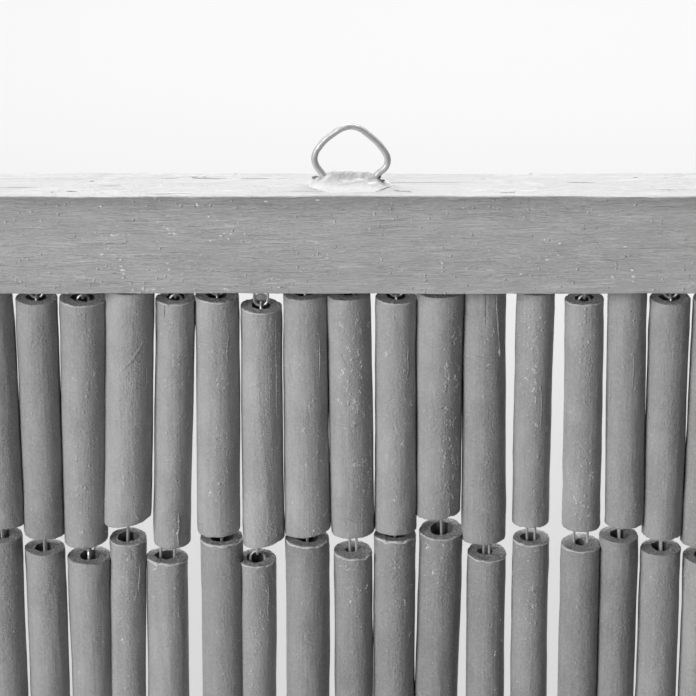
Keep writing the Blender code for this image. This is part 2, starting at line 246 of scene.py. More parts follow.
# Dark chips and cracks in the paint of the rail's top, in mm: x from the left loop, y, half length
# and half width
TOP_MARKS = (
    (-43.6, 7.0, 0.9, 0.45), (-41.6, 7.1, 0.5, 0.35), (-30.8, 4.9, 0.7, 0.30), (-28.9, 4.9, 0.4, 0.30),
    (-31.2, -5.8, 0.3, 0.40), (-22.9, 7.0, 0.4, 0.30), (-11.6, 3.6, 0.4, 0.35), (10.2, -4.3, 1.5, 0.22),
    (8.8, -3.9, 0.7, 0.16), (11.4, -4.8, 0.5, 0.25), (24.0, 3.0, 0.6, 0.30), (26.1, 3.1, 0.8, 0.30),
    (35.6, 7.0, 0.4, 0.35), (56.2, 4.6, 0.5, 0.35), (-51.0, 2.2, 0.6, 0.25), (-38.0, 3.95, 4.2, 0.10),
    (-28.0, 3.85, 3.6, 0.10), (-19.0, 3.9, 3.2, 0.10), (-13.2, 3.8, 1.8, 0.10), (-47.5, -1.0, 2.6, 0.10),
    (38.5, -2.4, 2.4, 0.10), (45.2, 1.2, 3.0, 0.10), (30.5, -5.2, 1.6, 0.12), (-54.5, -4.4, 1.2, 0.14),
)

# Lumps and marks strewn over the whole rail, and the points in a raised brush mark
MORE_LUMPS = 150
MORE_MARKS = 28
THREAD_POINTS = 24

# Dark lenses in a glue mound by the wire's feet, a painted shadow there, in mm: x, y, height over the
# rail, then three radii
MOUND_PAINTED_SHADOWS = (
    (-6.9, 0.9, 1.14, 0.85, 0.60, 0.30), (-5.9, 0.6, 1.62, 0.35, 0.40, 0.22),
    (5.5, -0.4, 1.62, 0.42, 0.40, 0.26), (6.15, -0.7, 1.02, 0.55, 0.32, 0.20),
)

# Cuts round a glue mound and over it
MOUND_CUTS = 84

# Height of a glue mound along the rail, in mm: x from the loop's middle, then the height
MOUND_CREST = (
    (-9.4, 0.0), (-8.7, 0.12), (-8.1, 0.35), (-7.4, 1.0), (-6.3, 1.7), (-5.2, 2.2), (-4.0, 2.8),
    (-2.5, 3.1), (-0.3, 2.85), (2.3, 2.6), (4.3, 2.35), (5.2, 1.9), (6.2, 1.0), (7.0, 0.45),
    (7.8, 0.15), (8.7, 0.0),
)

# Hollows in a mound by the wire's feet, darkened with painted shade, and folds on it, lightened with
# painted highlights, in mm: x, y, then the two radii
MOUND_HOLLOWS = ((-6.7, 2.2, 0.9, 0.7), (6.1, 0.9, 0.6, 0.8))
MOUND_FOLDS = (
    (-5.0, -1.2, 0.9, 0.22), (0.6, -2.0, 2.6, 0.22), (4.4, -2.2, 1.2, 0.20), (-1.5, 0.2, 1.6, 0.16),
)


def length_property(name, description, default):
    """A size in metres, shown in the scene's length unit."""
    return bpy.props.FloatProperty(
        name=name, description=description, default=default, min=0.0, unit="LENGTH", precision=5
    )


def grey_property(name, description, value):
    """A neutral colour."""
    return bpy.props.FloatVectorProperty(
        name=name,
        description=description,
        default=(value, value, value),
        min=0.0,
        max=1.0,
        size=3,
        subtype="COLOR",
    )


def power_property(name, description, value):
    """A light's power in watts."""
    return bpy.props.FloatProperty(name=name, description=description, default=value, min=0.0)


class CurtainSizes(bpy.types.PropertyGroup):
    """Sizes that the solids leave open."""

    wire: length_property("Ring wire", "Diameter of the wire in the tubes", 0.55 * MM)
    ring_width: length_property("Ring width", "Width of a tube's wire ring between centres", 2.3 * MM)
    eye_width: length_property("Eye width", "Width of a rail eye between centres", 2.7 * MM)
    loop_wire: length_property("Loop wire", "Diameter of the hanging loops' wire", 1.25 * MM)
    rail_wave: length_property("Rail unevenness", "Height of the waves in the rail's faces", 0.10 * MM)
    mound_width: length_property("Mound width", "Length of a glue mound along the rail", 17.0 * MM)
    mound_depth: length_property("Mound depth", "Depth of a glue mound across the rail", 12.0 * MM)
    mound_height: length_property("Mound height", "Height of a glue mound", 3.0 * MM)


class CurtainColours(bpy.types.PropertyGroup):
    """Colours of the finishes."""

    tube: grey_property("Tube paint", "Paint on the outside of the tubes", 0.39)
    end: grey_property("Tube end", "Cut ends of the tubes", 0.30)
    bore: grey_property("Bore", "Inside of the tubes", 0.12)
    rail: grey_property("Rail paint", "Paint on the head rail", 0.565)
    # Lumps and grains are lighter than the paint round them: a painted highlight.
    glint: grey_property("Paint lumps", "Glossy dried lumps of paint on the head rail", 0.72)
    grains: grey_property("Paint grains", "Glossy dried grains of paint on the tubes", 0.60)
    wire: grey_property("Ring wire", "Steel of the wire rings", 0.62)
    loop: grey_property("Loop wire", "Steel of the hanging loops", 0.50)
    # The gaps' dark colour is painted shadow by the wire's feet.
    gap: grey_property("Gaps", "Dark gaps in the glue by the wire's feet", 0.13)
    mark: grey_property("Marks", "Chips and cracks in the paint of the rail's top", 0.36)
    floor: grey_property("Floor", "Floor of the studio", 0.80)


class CurtainStage(bpy.types.PropertyGroup):
    """Camera and lights."""

    distance: length_property("Camera distance", "From the camera to the middle of the view", 0.65)
    elevation: bpy.props.FloatProperty(
        name="Elevation",
        description="Angle at which the camera looks down",
        default=math.radians(20.5),
        subtype="ANGLE",
    )
    key: power_property("Key light", "Power of the soft light at the left", 72.0)
    top: power_property("Top light", "Power of the soft light above and behind", 105.0)
    side: power_property("Side light", "Power of the small light at the right", 6.0)
    floor_light: power_property("Floor light", "Power of the light on the floor behind", 380.0)


def sizes():
    return bpy.context.scene.curtain_sizes


def colours():
    return bpy.context.scene.curtain_colours


# Modelling helpers


def object_mode():
    """Leave edit mode."""
    bpy.ops.object.mode_set(mode="OBJECT")


def deselect():
    """Leave edit mode and deselect every object."""
    if bpy.context.object and bpy.context.object.mode != "OBJECT":
        object_mode()
    bpy.ops.object.select_all(action="DESELECT")


def choose(piece):
    """Select one object alone and make it active."""
    deselect()
    piece.select_set(True)
    bpy.context.view_layer.objects.active = piece


def edit_all(piece):
    """Go to edit mode with all of the piece selected."""
    choose(piece)
    bpy.ops.object.mode_set(mode="EDIT")
    bpy.ops.mesh.select_all(action="SELECT")


def start_piece(name):
    """Name the primitive that was just added."""
    piece = bpy.context.object
    piece.name = name
    piece.data.name = name
    return piece


def points_of(mesh):
    """The mesh's points as an array."""
    flat = np.empty(len(mesh.vertices) * 3)
    mesh.vertices.foreach_get("co", flat)
    return flat.reshape(-1, 3)


def set_points(mesh, points):
    """Move the mesh's points."""
    mesh.vertices.foreach_set("co", np.ascontiguousarray(points, dtype=np.float32).ravel())
    mesh.update()


def select_parts(piece, kind, wanted):
    """Select the edges or faces for which wanted(part) is true, and go to edit mode."""
    edit_all(piece)
    bpy.ops.mesh.select_mode(type=kind)
    bpy.ops.mesh.select_all(action="DESELECT")
    object_mode()
    for part in piece.data.edges if kind == "EDGE" else piece.data.polygons:
        part.select = wanted(part)
    bpy.ops.object.mode_set(mode="EDIT")


def select_edges(piece, wanted):
    """Select the edges for which wanted(first point, second point) is true, and go to edit mode."""
    def has_wanted_ends(edge):
        return wanted(*(piece.data.vertices[k].co for k in edge.vertices))

    select_parts(piece, "EDGE", has_wanted_ends)


def apply_place(piece):
    """Put the object's place, turn and scale into its mesh."""
    choose(piece)
    bpy.ops.object.transform_apply(location=True, rotation=True, scale=True)


def set_materials(piece, *materials):
    """Give the piece these materials, in slot order."""
    for material in materials:
        piece.data.materials.append(material)


def set_mark(mesh, name, values):
    """Give each point of the mesh a value under this name."""
    attribute = mesh.attributes.new(name, "FLOAT", "POINT")
    attribute.data.foreach_set("value", np.asarray(values, dtype=np.float32))


def finish_piece(piece, replaced=()):
    """Shade the piece smooth with sharp rims, and let it ride on the curtain."""
    choose(piece)
    bpy.ops.object.shade_smooth_by_angle(angle=math.radians(40))
    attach(piece, BODY)
    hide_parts(*replaced)
    return piece


def smooth_route(points, count):
    """Evenly spaced points on a Catmull-Rom curve through the route, as an array."""
    route = [np.array(point, dtype=float) for point in points]
    ends = [2 * route[0] - route[1], *route, 2 * route[-1] - route[-2]]
    samples = 16
    dense = []
    for a, b, c, d in zip(ends, ends[1:], ends[2:], ends[3:]):
        for k in range(samples):
            t = k / samples
            bend = 2 * a - 5 * b + 4 * c - d
            twist = 3 * b - a - 3 * c + d
            dense.append(0.5 * (2 * b + (c - a) * t + bend * t * t + twist * t ** 3))
    dense.append(route[-1])
    dense = np.array(dense)
    steps = np.linalg.norm(np.diff(dense, axis=0), axis=1)
    along = np.concatenate([[0.0], np.cumsum(steps)])
    wanted = np.linspace(0.0, along[-1], count)
    return np.stack([np.interp(wanted, along, dense[:, k]) for k in range(3)], axis=1)


# Material helpers

# Tone at which a finish has its plain colour, and the least that glue has in the painted shade of its
# hollows
MIDDLE_TONE = 0.5
DARKEST_TONE = -1.6


def new_material(name):
    """A material with a Principled shader, its node tree and the Object coordinates in it."""
    material = bpy.data.materials.new(name)
    material.use_nodes = True
    tree = material.node_tree
    tree.nodes.clear()
    output = tree.nodes.new("ShaderNodeOutputMaterial")
    shader = tree.nodes.new("ShaderNodeBsdfPrincipled")
    tree.links.new(shader.outputs["BSDF"], output.inputs["Surface"])
    return material, tree, shader, put(tree, "ShaderNodeTexCoord").outputs["Object"]


def feed(tree, socket, value):
    """Link the value to the socket, or set it there if it is a plain number or colour."""
    if isinstance(value, bpy.types.NodeSocket):
        tree.links.new(value, socket)
    else:
        socket.default_value = value


def finish_paint(tree, shader, colour, roughness, height, depth):
    """Give the shader its colour, its roughness and the normal of a height that spans depth metres."""
    bump = put(tree, "ShaderNodeBump", Strength=1.0, Distance=depth, Height=height)
    feed(tree, shader.inputs["Base Color"], colour)
    feed(tree, shader.inputs["Roughness"], roughness)
    feed(tree, shader.inputs["Normal"], bump.outputs["Normal"])


def mark_of(tree, name):
    """The value that the mesh gives under this name."""
    return put(tree, "ShaderNodeAttribute", {"attribute_name": name}).outputs["Fac"]


def put(tree, kind, settings=None, **inputs):
    """Add a node, set its options and feed its inputs, each named by its label or by n and its number."""
    node = tree.nodes.new(kind)
    for key, value in (settings or {}).items():
        setattr(node, key, value)
    for key, value in inputs.items():
        feed(tree, node.inputs[int(key[1:]) if key[0] == "n" else key], value)
    return node


def maths(tree, operation, first, second=0.0, third=0.0):
    """One Math node's result."""
    node = put(tree, "ShaderNodeMath", {"operation": operation}, n0=first, n1=second, n2=third)
    return node.outputs[0]


def half_weights(shares):
    """Half the sum of the weights, which keeps a weighted sum of middling values in its middle."""
    return sum(weight for _, weight in shares) / 2


def weighted(tree, start, *shares):
    """The start, a number or a value, with each value times its weight added to it."""
    total = start
    for value, weight in shares:
        total = maths(tree, "MULTIPLY_ADD", value, weight, total)
    return total


def stretched_noise(tree, coordinates, scale, detail=3.0, roughness=0.55):
    """Noise whose grains measure 1 / scale millimetres along each axis, from 0 to 1."""
    scale = tuple(value / MM for value in scale)
    place = put(tree, "ShaderNodeMapping", Vector=coordinates, Scale=scale).outputs[0]
    settings = {"Scale": 1.0, "Detail": detail, "Roughness": roughness}
    return put(tree, "ShaderNodeTexNoise", Vector=place, **settings).outputs["Fac"]


def ramp(tree, value, low, high, start=0.0, end=1.0):
    """The value mapped smoothly from low..high to start..end."""
    node = put(tree, "ShaderNodeMapRange", {"interpolation_type": "SMOOTHSTEP"}, Value=value)
    for key, number in zip(("From Min", "From Max", "To Min", "To Max"), (low, high, start, end)):
        node.inputs[key].default_value = number
    return node.outputs[0]


def new_group(name, inputs, outputs):
    """A shader node group that takes Coordinates and these numbers, and gives these numbers."""
    group = bpy.data.node_groups.new(name, "ShaderNodeTree")
    group.interface.new_socket("Coordinates", in_out="INPUT", socket_type="NodeSocketVector")
    for way, labels in (("INPUT", inputs), ("OUTPUT", outputs)):
        for label in labels:
            group.interface.new_socket(label, in_out=way, socket_type="NodeSocketFloat")
    return group, group.nodes.new("NodeGroupInput"), group.nodes.new("NodeGroupOutput")


def specks_group():
    """Small raised grains of dried paint: a height mask from 0 to 1."""
    found = bpy.data.node_groups.get("paint_specks")
    if found:
        return found
    labels = ("Per millimetre", "Share", "Radius", "Gathered")
    group, given, result = new_group("paint_specks", labels, ("Height",))
    place = given.outputs["Coordinates"]
    scale = maths(group, "DIVIDE", given.outputs["Per millimetre"], MM)
    cells = put(group, "ShaderNodeTexVoronoi", Vector=place, Scale=scale)
    chance = put(group, "ShaderNodeSeparateColor", Color=cells.outputs["Color"])
    flocks = ramp(group, stretched_noise(group, place, (0.16, 0.16, 0.10), detail=2.0), 0.46, 0.64)
    whole = given.outputs["Share"]
    thinned = maths(group, "MULTIPLY", whole, flocks)
    gathered = given.outputs["Gathered"]
    mixed = put(group, "ShaderNodeMix", {"data_type": "FLOAT"}, n0=gathered, n2=whole, n3=thinned)
    kept = maths(group, "LESS_THAN", chance.outputs[0], mixed.outputs[0])
    size = maths(group, "MULTIPLY_ADD", chance.outputs[1], 0.7, 0.5)
    reach = maths(group, "MULTIPLY", given.outputs["Radius"], size)
    near = maths(group, "DIVIDE", cells.outputs["Distance"], reach)
    dome = ramp(group, near, 0.1, 1.0, 1.0, 0.0)
    group.links.new(maths(group, "MULTIPLY", dome, kept), result.inputs["Height"])
    return group


def specks(tree, place, per_mm, share, radius, gathered):
    """Grains of dried paint: how many a millimetre, the share kept, their radius, how gathered."""
    group = {"node_tree": specks_group()}
    values = {"Per millimetre": per_mm, "Share": share, "Radius": radius, "Gathered": gathered}
    return put(tree, "ShaderNodeGroup", group, Coordinates=place, **values).outputs["Height"]


def grain_group():
    """Long fibres, blotches and cross marks of painted bamboo: a tone and a height."""
    group, given, result = new_group("bamboo_grain", (), ("Tone", "Height"))
    place = given.outputs["Coordinates"]
    fibres = ramp(group, stretched_noise(group, place, (2.2, 2.2, 0.08), detail=3.0), 0.3, 0.7)
    streaks = stretched_noise(group, place, (0.6, 0.6, 0.02), detail=2.0)
    blotches = stretched_noise(group, place, (0.26, 0.26, 0.14), detail=3.0)
    grit = stretched_noise(group, place, (1.9, 1.9, 1.5), detail=4.0, roughness=0.75)
    grit = ramp(group, grit, 0.3, 0.7)
    coats = stretched_noise(group, place, (0.8, 0.8, 0.5), detail=3.0, roughness=0.6)
    rings = ramp(group, stretched_noise(group, place, (0.30, 0.30, 1.5), detail=2.0), 0.60, 0.68)
    rough = ramp(group, stretched_noise(group, place, (0.11, 0.11, 0.08), detail=2.0), 0.40, 0.60)
    spread = ((fibres, 0.12), (streaks, 0.12), (blotches, 0.35), (grit, 0.34))
    tone = weighted(group, MIDDLE_TONE - half_weights(spread), *spread, (rings, 0.12))
    grain = maths(group, "MULTIPLY", grit, weighted(group, 0.3, (rough, 0.7)))
    height = weighted(
        group, 0.0, (fibres, 0.16), (grain, 0.60), (coats, 0.8), (rings, 0.35), (streaks, 0.25)
    )
    group.links.new(tone, result.inputs["Tone"])
    group.links.new(height, result.inputs["Height"])
    return group


def toned_colour(tree, colour, tone, spread):
    """The colour made lighter or darker by spread as the tone goes from 0.5 to 1 or 0."""
    change = weighted(tree, 1.0 - spread, (tone, 2 * spread))
    scaled = {"operation": "SCALE"}
    return put(tree, "ShaderNodeVectorMath", scaled, n0=tuple(colour), Scale=change).outputs[0]


def tube_paint():
    """Thin satin paint over bamboo, with its fibres, blotches and dried specks."""
    material, tree, shader, place = new_material("tube_paint")
    grain = put(tree, "ShaderNodeGroup", {"node_tree": grain_group()}, Coordinates=place)
    grain_tone, grain_height = grain.outputs
    patches = mark_of(tree, "tube_pimples")
    pimples = specks(tree, place, 1.15, patches, 0.42, 0.5)
    dots = specks(tree, place, 2.1, patches, 0.42, 0.3)
    dust = specks(tree, place, 0.45, 0.35, 0.12, 0.0)
    # Each tube's own tone, with the painted shade of the rows below the first.
    own = weighted(tree, grain_tone, (mark_of(tree, "tube_tone_and_painted_shade"), 0.5), (MIDDLE_TONE, -0.5))
    # Pimples and dots are made lighter, a painted highlight on raised paint; dust specks are lighter
    # dust.
    tone = weighted(tree, own, (pimples, 0.85), (dots, 0.70), (dust, 1.4))
    height = weighted(tree, grain_height, (pimples, 0.95), (dots, 0.4), (dust, 0.6))
    colour = toned_colour(tree, colours().tube, tone, 0.30)
    roughness = ramp(tree, grain_tone, 0.2, 0.8, 0.56, 0.40)
    finish_paint(tree, shader, colour, roughness, height, 0.17 * MM)
    shader.inputs["Specular IOR Level"].default_value = 0.25
    return material


def tube_end():
    """Sawn bamboo end with its pores, under thin paint."""
    material, tree, shader, place = new_material("tube_end")
    rough = stretched_noise(tree, place, (2.0, 2.0, 1.0), detail=4.0, roughness=0.7)
    rough = ramp(tree, rough, 0.3, 0.7)
    pores = put(tree, "ShaderNodeTexVoronoi", Vector=place, Scale=1.9 / MM).outputs["Distance"]
    hole = ramp(tree, pores, 0.08, 0.30)
    colour = toned_colour(tree, colours().end, weighted(tree, 0.0, (rough, 0.7), (hole, 0.30)), 0.65)
    finish_paint(tree, shader, colour, 0.75, weighted(tree, rough, (hole, 0.5)), 0.26 * MM)
    return material


def tube_bore():
    """Bare, shaded inside of a tube."""
    material, tree, shader, place = new_material("tube_bore")
    fibres = stretched_noise(tree, place, (1.8, 1.8, 0.25))
    colour = toned_colour(tree, colours().bore, fibres, 0.5)
    finish_paint(tree, shader, colour, 0.85, fibres, 0.12 * MM)
    return material


def rail_paint():
    """Brushed satin paint over wood, with its strokes, lumps, specks and fine cracks."""
    found = bpy.data.materials.get("brushed_paint")
    if found:
        return found
    material, tree, shader, place = new_material("brushed_paint")
    drift = stretched_noise(tree, place, (0.03, 0.10, 0.10), detail=2.0)
    sway = put(tree, "ShaderNodeCombineXYZ", Z=maths(tree, "MULTIPLY", drift, 2.6 * MM)).outputs[0]
    swayed = put(tree, "ShaderNodeVectorMath", {"operation": "ADD"}, n0=place, n1=sway).outputs[0]
    hairs = stretched_noise(tree, swayed, (0.08, 2.0, 2.0), detail=4.0, roughness=0.75)
    strokes = ramp(tree, hairs, 0.32, 0.68)
    threads = ramp(tree, stretched_noise(tree, swayed, (0.07, 2.6, 2.6), detail=2.0), 0.62, 0.70)
    bands = stretched_noise(tree, swayed, (0.03, 0.40, 0.40), detail=2.0)
    clouds = stretched_noise(tree, place, (0.10, 0.22, 0.22))
    grit = ramp(tree, stretched_noise(tree, place, (1.2, 2.0, 2.0), roughness=0.7), 0.3, 0.7)
    pimples = specks(tree, place, 1.2, 0.45, 0.34, 0.9)
    lumps = specks(tree, place, 0.34, 0.30, 0.11, 0.0)
    spread = ((strokes, 0.34), (bands, 0.25), (clouds, 0.25), (grit, 0.16))
    # Raised threads, pimples and lumps are made lighter: a painted highlight on raised paint.
    raised = ((threads, 0.30), (pimples, 0.6), (lumps, 1.2))
    darkened = ((cracks(tree, place), -1.3), (darker_band_under_top_edge(tree, place), -0.65))
    tone = weighted(tree, MIDDLE_TONE - half_weights(spread), *spread, *raised, *darkened)
    height = weighted(tree, 0.0, (strokes, 0.90), (bands, 0.5), (grit, 0.25), (threads, 0.55))
    height = weighted(tree, height, (pimples, 1.1), (lumps, 0.3))
    colour = toned_colour(tree, colours().rail, tone, 0.20)
    roughness = ramp(tree, clouds, 0.3, 0.7, 0.54, 0.40)
    finish_paint(tree, shader, colour, roughness, height, 0.19 * MM)
    return material


def painted_highlight_paint(name, colour):
    """Glossy, lighter paint of dried lumps, grains and raised brush marks: its lightness is a painted
    highlight.
    """
    material, tree, shader, place = new_material(name)
    grain = stretched_noise(tree, place, (2.0, 3.0, 3.0))
    finish_paint(tree, shader, toned_colour(tree, colour, grain, 0.30), 0.28, grain, 0.05 * MM)
    return material


def dull_marks_and_painted_shadow(name, colour):
    """Dull cracks and chips in the paint, and the dark paint of the painted shadows by the wire's feet.
    """
    material, tree, shader, place = new_material(name)
    grain = stretched_noise(tree, place, (1.5, 3.0, 3.0))
    finish_paint(tree, shader, toned_colour(tree, colour, grain, 0.6), 1.0, grain, 0.05 * MM)
    shader.inputs["Specular IOR Level"].default_value = 0.0
    return material


def cracks(tree, place):
    """Thin dark lines along the wood's grain in the rail's top: a mask."""
    wander = stretched_noise(tree, place, (0.004, 0.30, 0.0), detail=1.0)
    gone = maths(tree, "ABSOLUTE", maths(tree, "SUBTRACT", wander, 0.50))
    line = ramp(tree, gone, 0.0, 0.010, 1.0, 0.0)
    broken = ramp(tree, stretched_noise(tree, place, (0.05, 0.3, 0.3), detail=2.0), 0.48, 0.58)
    upper = put(tree, "ShaderNodeSeparateXYZ", Vector=place).outputs["Z"]
    on_top = ramp(tree, upper, RAIL_TOP - 0.5 * MM, RAIL_TOP - 0.25 * MM)
    return maths(tree, "MULTIPLY", maths(tree, "MULTIPLY", line, broken), on_top)


def darker_band_under_top_edge(tree, place):
    """A band that is darker under the front's upper edge: a mask."""
    parts = put(tree, "ShaderNodeSeparateXYZ", Vector=place)
    under = ramp(tree, parts.outputs["Z"], RAIL_TOP - 4.5 * MM, RAIL_TOP - 0.3 * MM)
    front = ramp(tree, parts.outputs["Y"], RAIL_LOW.y + 0.1 * MM, RAIL_LOW.y + 0.5 * MM, 1.0, 0.0)
    return maths(tree, "MULTIPLY", under, front)


def wire_steel(name, colour, roughness, metallic):
    """Drawn steel wire with faint scratches and patches of thin paint."""
    found = bpy.data.materials.get(name)
    if found:
        return found
    material, tree, shader, place = new_material(name)
    scratches = stretched_noise(tree, place, (3.0, 3.0, 0.8))
    patches = stretched_noise(tree, place, (0.5, 0.5, 0.5))
    grit = stretched_noise(tree, place, (3.0, 3.0, 3.0), roughness=0.7)
    tone = weighted(tree, patches, (grit, 0.8), (MIDDLE_TONE, -0.8))
    colour = toned_colour(tree, colour, tone, 0.25)
    worn = ramp(tree, scratches, 0.3, 0.7, roughness, roughness + 0.15)
    finish_paint(tree, shader, colour, worn, weighted(tree, scratches, (grit, 1.5)), 0.02 * MM)
    shader.inputs["Metallic"].default_value = metallic
    return material


# Head rail


def model_rail():
    """The painted wooden bar, with soft edges and slightly wavy faces."""
    deselect()
    bpy.ops.mesh.primitive_cube_add(size=1.0, location=(RAIL_LOW + RAIL_HIGH) / 2)
    rail = start_piece("head_rail")
    rail.scale = RAIL_HIGH - RAIL_LOW
    apply_place(rail)
    edit_all(rail)
    bpy.ops.mesh.bevel(offset=0.28 * MM, segments=3, affect="EDGES")
    object_mode()
    for axis, longest, cuts in (
        (0, RAIL_LENGTH, 20), (0, RAIL_LENGTH / 21, 24), (2, RAIL_HEIGHT, 22), (1, RAIL_DEPTH, 12)
    ):
        select_edges(rail, lambda a, b: abs(a[axis] - b[axis]) > 0.8 * longest)
        bpy.ops.mesh.subdivide(number_cuts=cuts)
    object_mode()
    points = points_of(rail.data)
    points[:, 0] = closer_near_loop(points[:, 0])
    set_points(rail.data, points + rail_waves(points))
    set_materials(rail, rail_paint())
    return finish_piece(rail, ("rail",))


def closer_near_loop(x):
    """Even cuts along the rail moved so that most of them lie about the left loop."""
    half = RAIL_LENGTH / 2 - 1.5 * MM
    places = np.array([-half, -LOOP_X - 76.0 * MM, -LOOP_X + 76.0 * MM, half])
    shares = np.array([0.0, 0.03, 0.62, 1.0])
    moved = np.interp((x + half) / (2 * half), shares, places)
    return np.where(np.abs(x) < half, moved, x)


def waves(rng, places, wavelength, count):
    """A smooth random value from about -1 to 1 at each place, from sines in random directions."""
    total = np.zeros(len(places))
    for _ in range(count):
        direction = rng.normal(size=3)
        direction /= np.linalg.norm(direction)
        rate = FULL_TURN / (wavelength * rng.uniform(0.6, 1.6))
        total += np.sin(places @ direction * rate + rng.uniform(0.0, FULL_TURN))
    return total / math.sqrt(count / 2) / 1.6


def rail_waves(points):
    """How far each point of the rail is moved out of its flat face."""
    rng = np.random.default_rng(SEEDS["rail"])
    height = sizes().rail_wave
    centre = np.array((RAIL_LOW + RAIL_HIGH) / 2)
    outward = points - centre
    outward[:, 0] = 0.0
    half = np.array([1.0, RAIL_DEPTH / 2, RAIL_HEIGHT / 2])
    outward = np.sign(outward) * (np.abs(outward) > half * 0.93)
    slow = points * np.array([0.55, 1.4, 1.4])
    brushed = points * np.array([0.12, 1.0, 1.0])
    rise = np.full(points.shape, -0.4)
    for places, wavelength, count, share in (
        (slow, 9.0 * MM, 10, 0.9), (slow, 3.2 * MM, 10, 0.25), (brushed, 1.9 * MM, 24, 0.22)
    ):
        rise += share * np.stack([waves(rng, places, wavelength, count) for _ in range(3)], axis=1)
    return outward * height * rise


def lump_arrays(segments, rings):
    """A small ball of radius 1 as arrays, all in slot 0."""
    deselect()
    bpy.ops.mesh.primitive_uv_sphere_add(
        segments=segments, ring_count=rings, radius=1.0, location=(0, 0, 0)
    )
    points, corners, counts, slots = mesh_arrays(start_piece("paint_lump"))
    return points, corners, counts, slots * 0


def placed_lump(lump, radii, place, slot=0):
    """A copy of the small ball with these radii, in mm, at the place."""
    return lump[0] * np.array(radii) * MM + np.array(place), *lump[1:3], lump[3] + slot


def model_rail_lumps():
    """Dried lumps and raised brush marks on the rail's front, the marks in its top, and dark lenses that
    paint the shadow by the wire's feet.
    """
    lump = lump_arrays(10, 6)
    rng = np.random.default_rng(SEEDS["lumps"])
    along = (RAIL_LOW.x + 5 * MM, RAIL_HIGH.x - 5 * MM)
    lumps = [(x * MM - LOOP_X, down, size) for x, down, size in RAIL_LUMPS]
    for _ in range(MORE_LUMPS):
        lumps.append((rng.uniform(*along), rng.uniform(1.0, 19.2), rng.uniform(0.14, 0.26)))
    parts = []
    for x, down, size in lumps:
        radii = (rng.uniform(1.0, 2.2) * size, 0.50 * size, rng.uniform(0.7, 1.0) * size)
        parts.append(placed_lump(lump, radii, (x, RAIL_LOW.y + 0.04 * MM, RAIL_TOP - down * MM)))
    for left, left_down, right, right_down in RAIL_THREADS:
        ends = np.array([[left, 0.0, -left_down], [right, 0.0, -right_down]]) * MM
        share = np.linspace(0.0, 1.0, THREAD_POINTS)[:, None]
        path = ends[0] * (1.0 - share) + ends[1] * share
        path[:, 2] += waves(rng, path, 4.0 * MM, 6) * 0.10 * MM
        path += np.array([-LOOP_X, RAIL_LOW.y + 0.04 * MM, RAIL_TOP])
        taper = np.sin(math.pi * np.clip(share[:, 0], 0.02, 0.98)) ** 0.4
        uneven = np.clip(0.8 + 0.5 * waves(rng, path, 1.5 * MM, 8), 0.1, 1.5)
        parts.append(wire_part(path, FACING, taper * uneven * 0.075 * MM, SEAM_SIDES, False))
    eye_x = (PAINTED_EYE - STRAND_MIDDLE) * STRAND_PITCH + strand_sizes(PAINTED_EYE)["offset"]
    parts.append(placed_lump(lump, (1.35, 0.28, 0.75), (eye_x, 0.0, RAIL_BOTTOM - 3.2 * MM), 1))
    marks = [(x * MM - LOOP_X, y, length, width) for x, y, length, width in TOP_MARKS]
    for _ in range(MORE_MARKS):
        spot = (rng.uniform(*along), rng.uniform(-6.8, 7.2))
        marks.append((*spot, rng.uniform(0.3, 1.4), rng.uniform(0.06, 0.16)))
    for x, y, length, width in marks:
        place = (x, y * MM, RAIL_TOP - 0.01 * MM)
        parts.append(placed_lump(lump, (length, width * 0.5, 0.06), place, 2))
    # Dark lenses by each loop's feet, a painted shadow.
    for side in (-1, 1):
        for x, y, z, *radii in MOUND_PAINTED_SHADOWS:
            place = (x * MM + side * LOOP_X, y * MM, z * MM + RAIL_TOP)
            parts.append(placed_lump(lump, radii, place, 3))
    lump_paint = painted_highlight_paint("rail_lumps_painted_highlight", colours().glint)
    mark_paint = dull_marks_and_painted_shadow("paint_mark", colours().mark)
    materials = (lump_paint, rail_paint(), mark_paint, dull_marks_and_painted_shadow("dull_marks_and_painted_shadow", colours().gap))
    piece = joined_mesh("rail_lumps_marks_and_painted_shadows", parts, materials)
    return finish_piece(piece)


# Glue mounds


def model_mound(name, side, node):
    """One mound of glue, painted over, that runs out thin on the rail's top."""
    deselect()
    bpy.ops.mesh.primitive_uv_sphere_add(
        segments=MOUND_CUTS, ring_count=MOUND_CUTS, radius=1.0, location=(0.0, 0.0, 0.0)
    )
    mound = start_piece(name)
    edit_all(mound)
    bpy.ops.mesh.bisect(plane_co=(0, 0, 0), plane_no=(0, 0, 1), clear_inner=True, use_fill=True)
    object_mode()
    points, tone = mound_shape(points_of(mound.data), side)
    set_points(mound.data, points)
    set_mark(mound.data, "mound_tone_and_painted_light", tone)
    set_materials(mound, painted_glue())
    return finish_piece(mound, (node,))


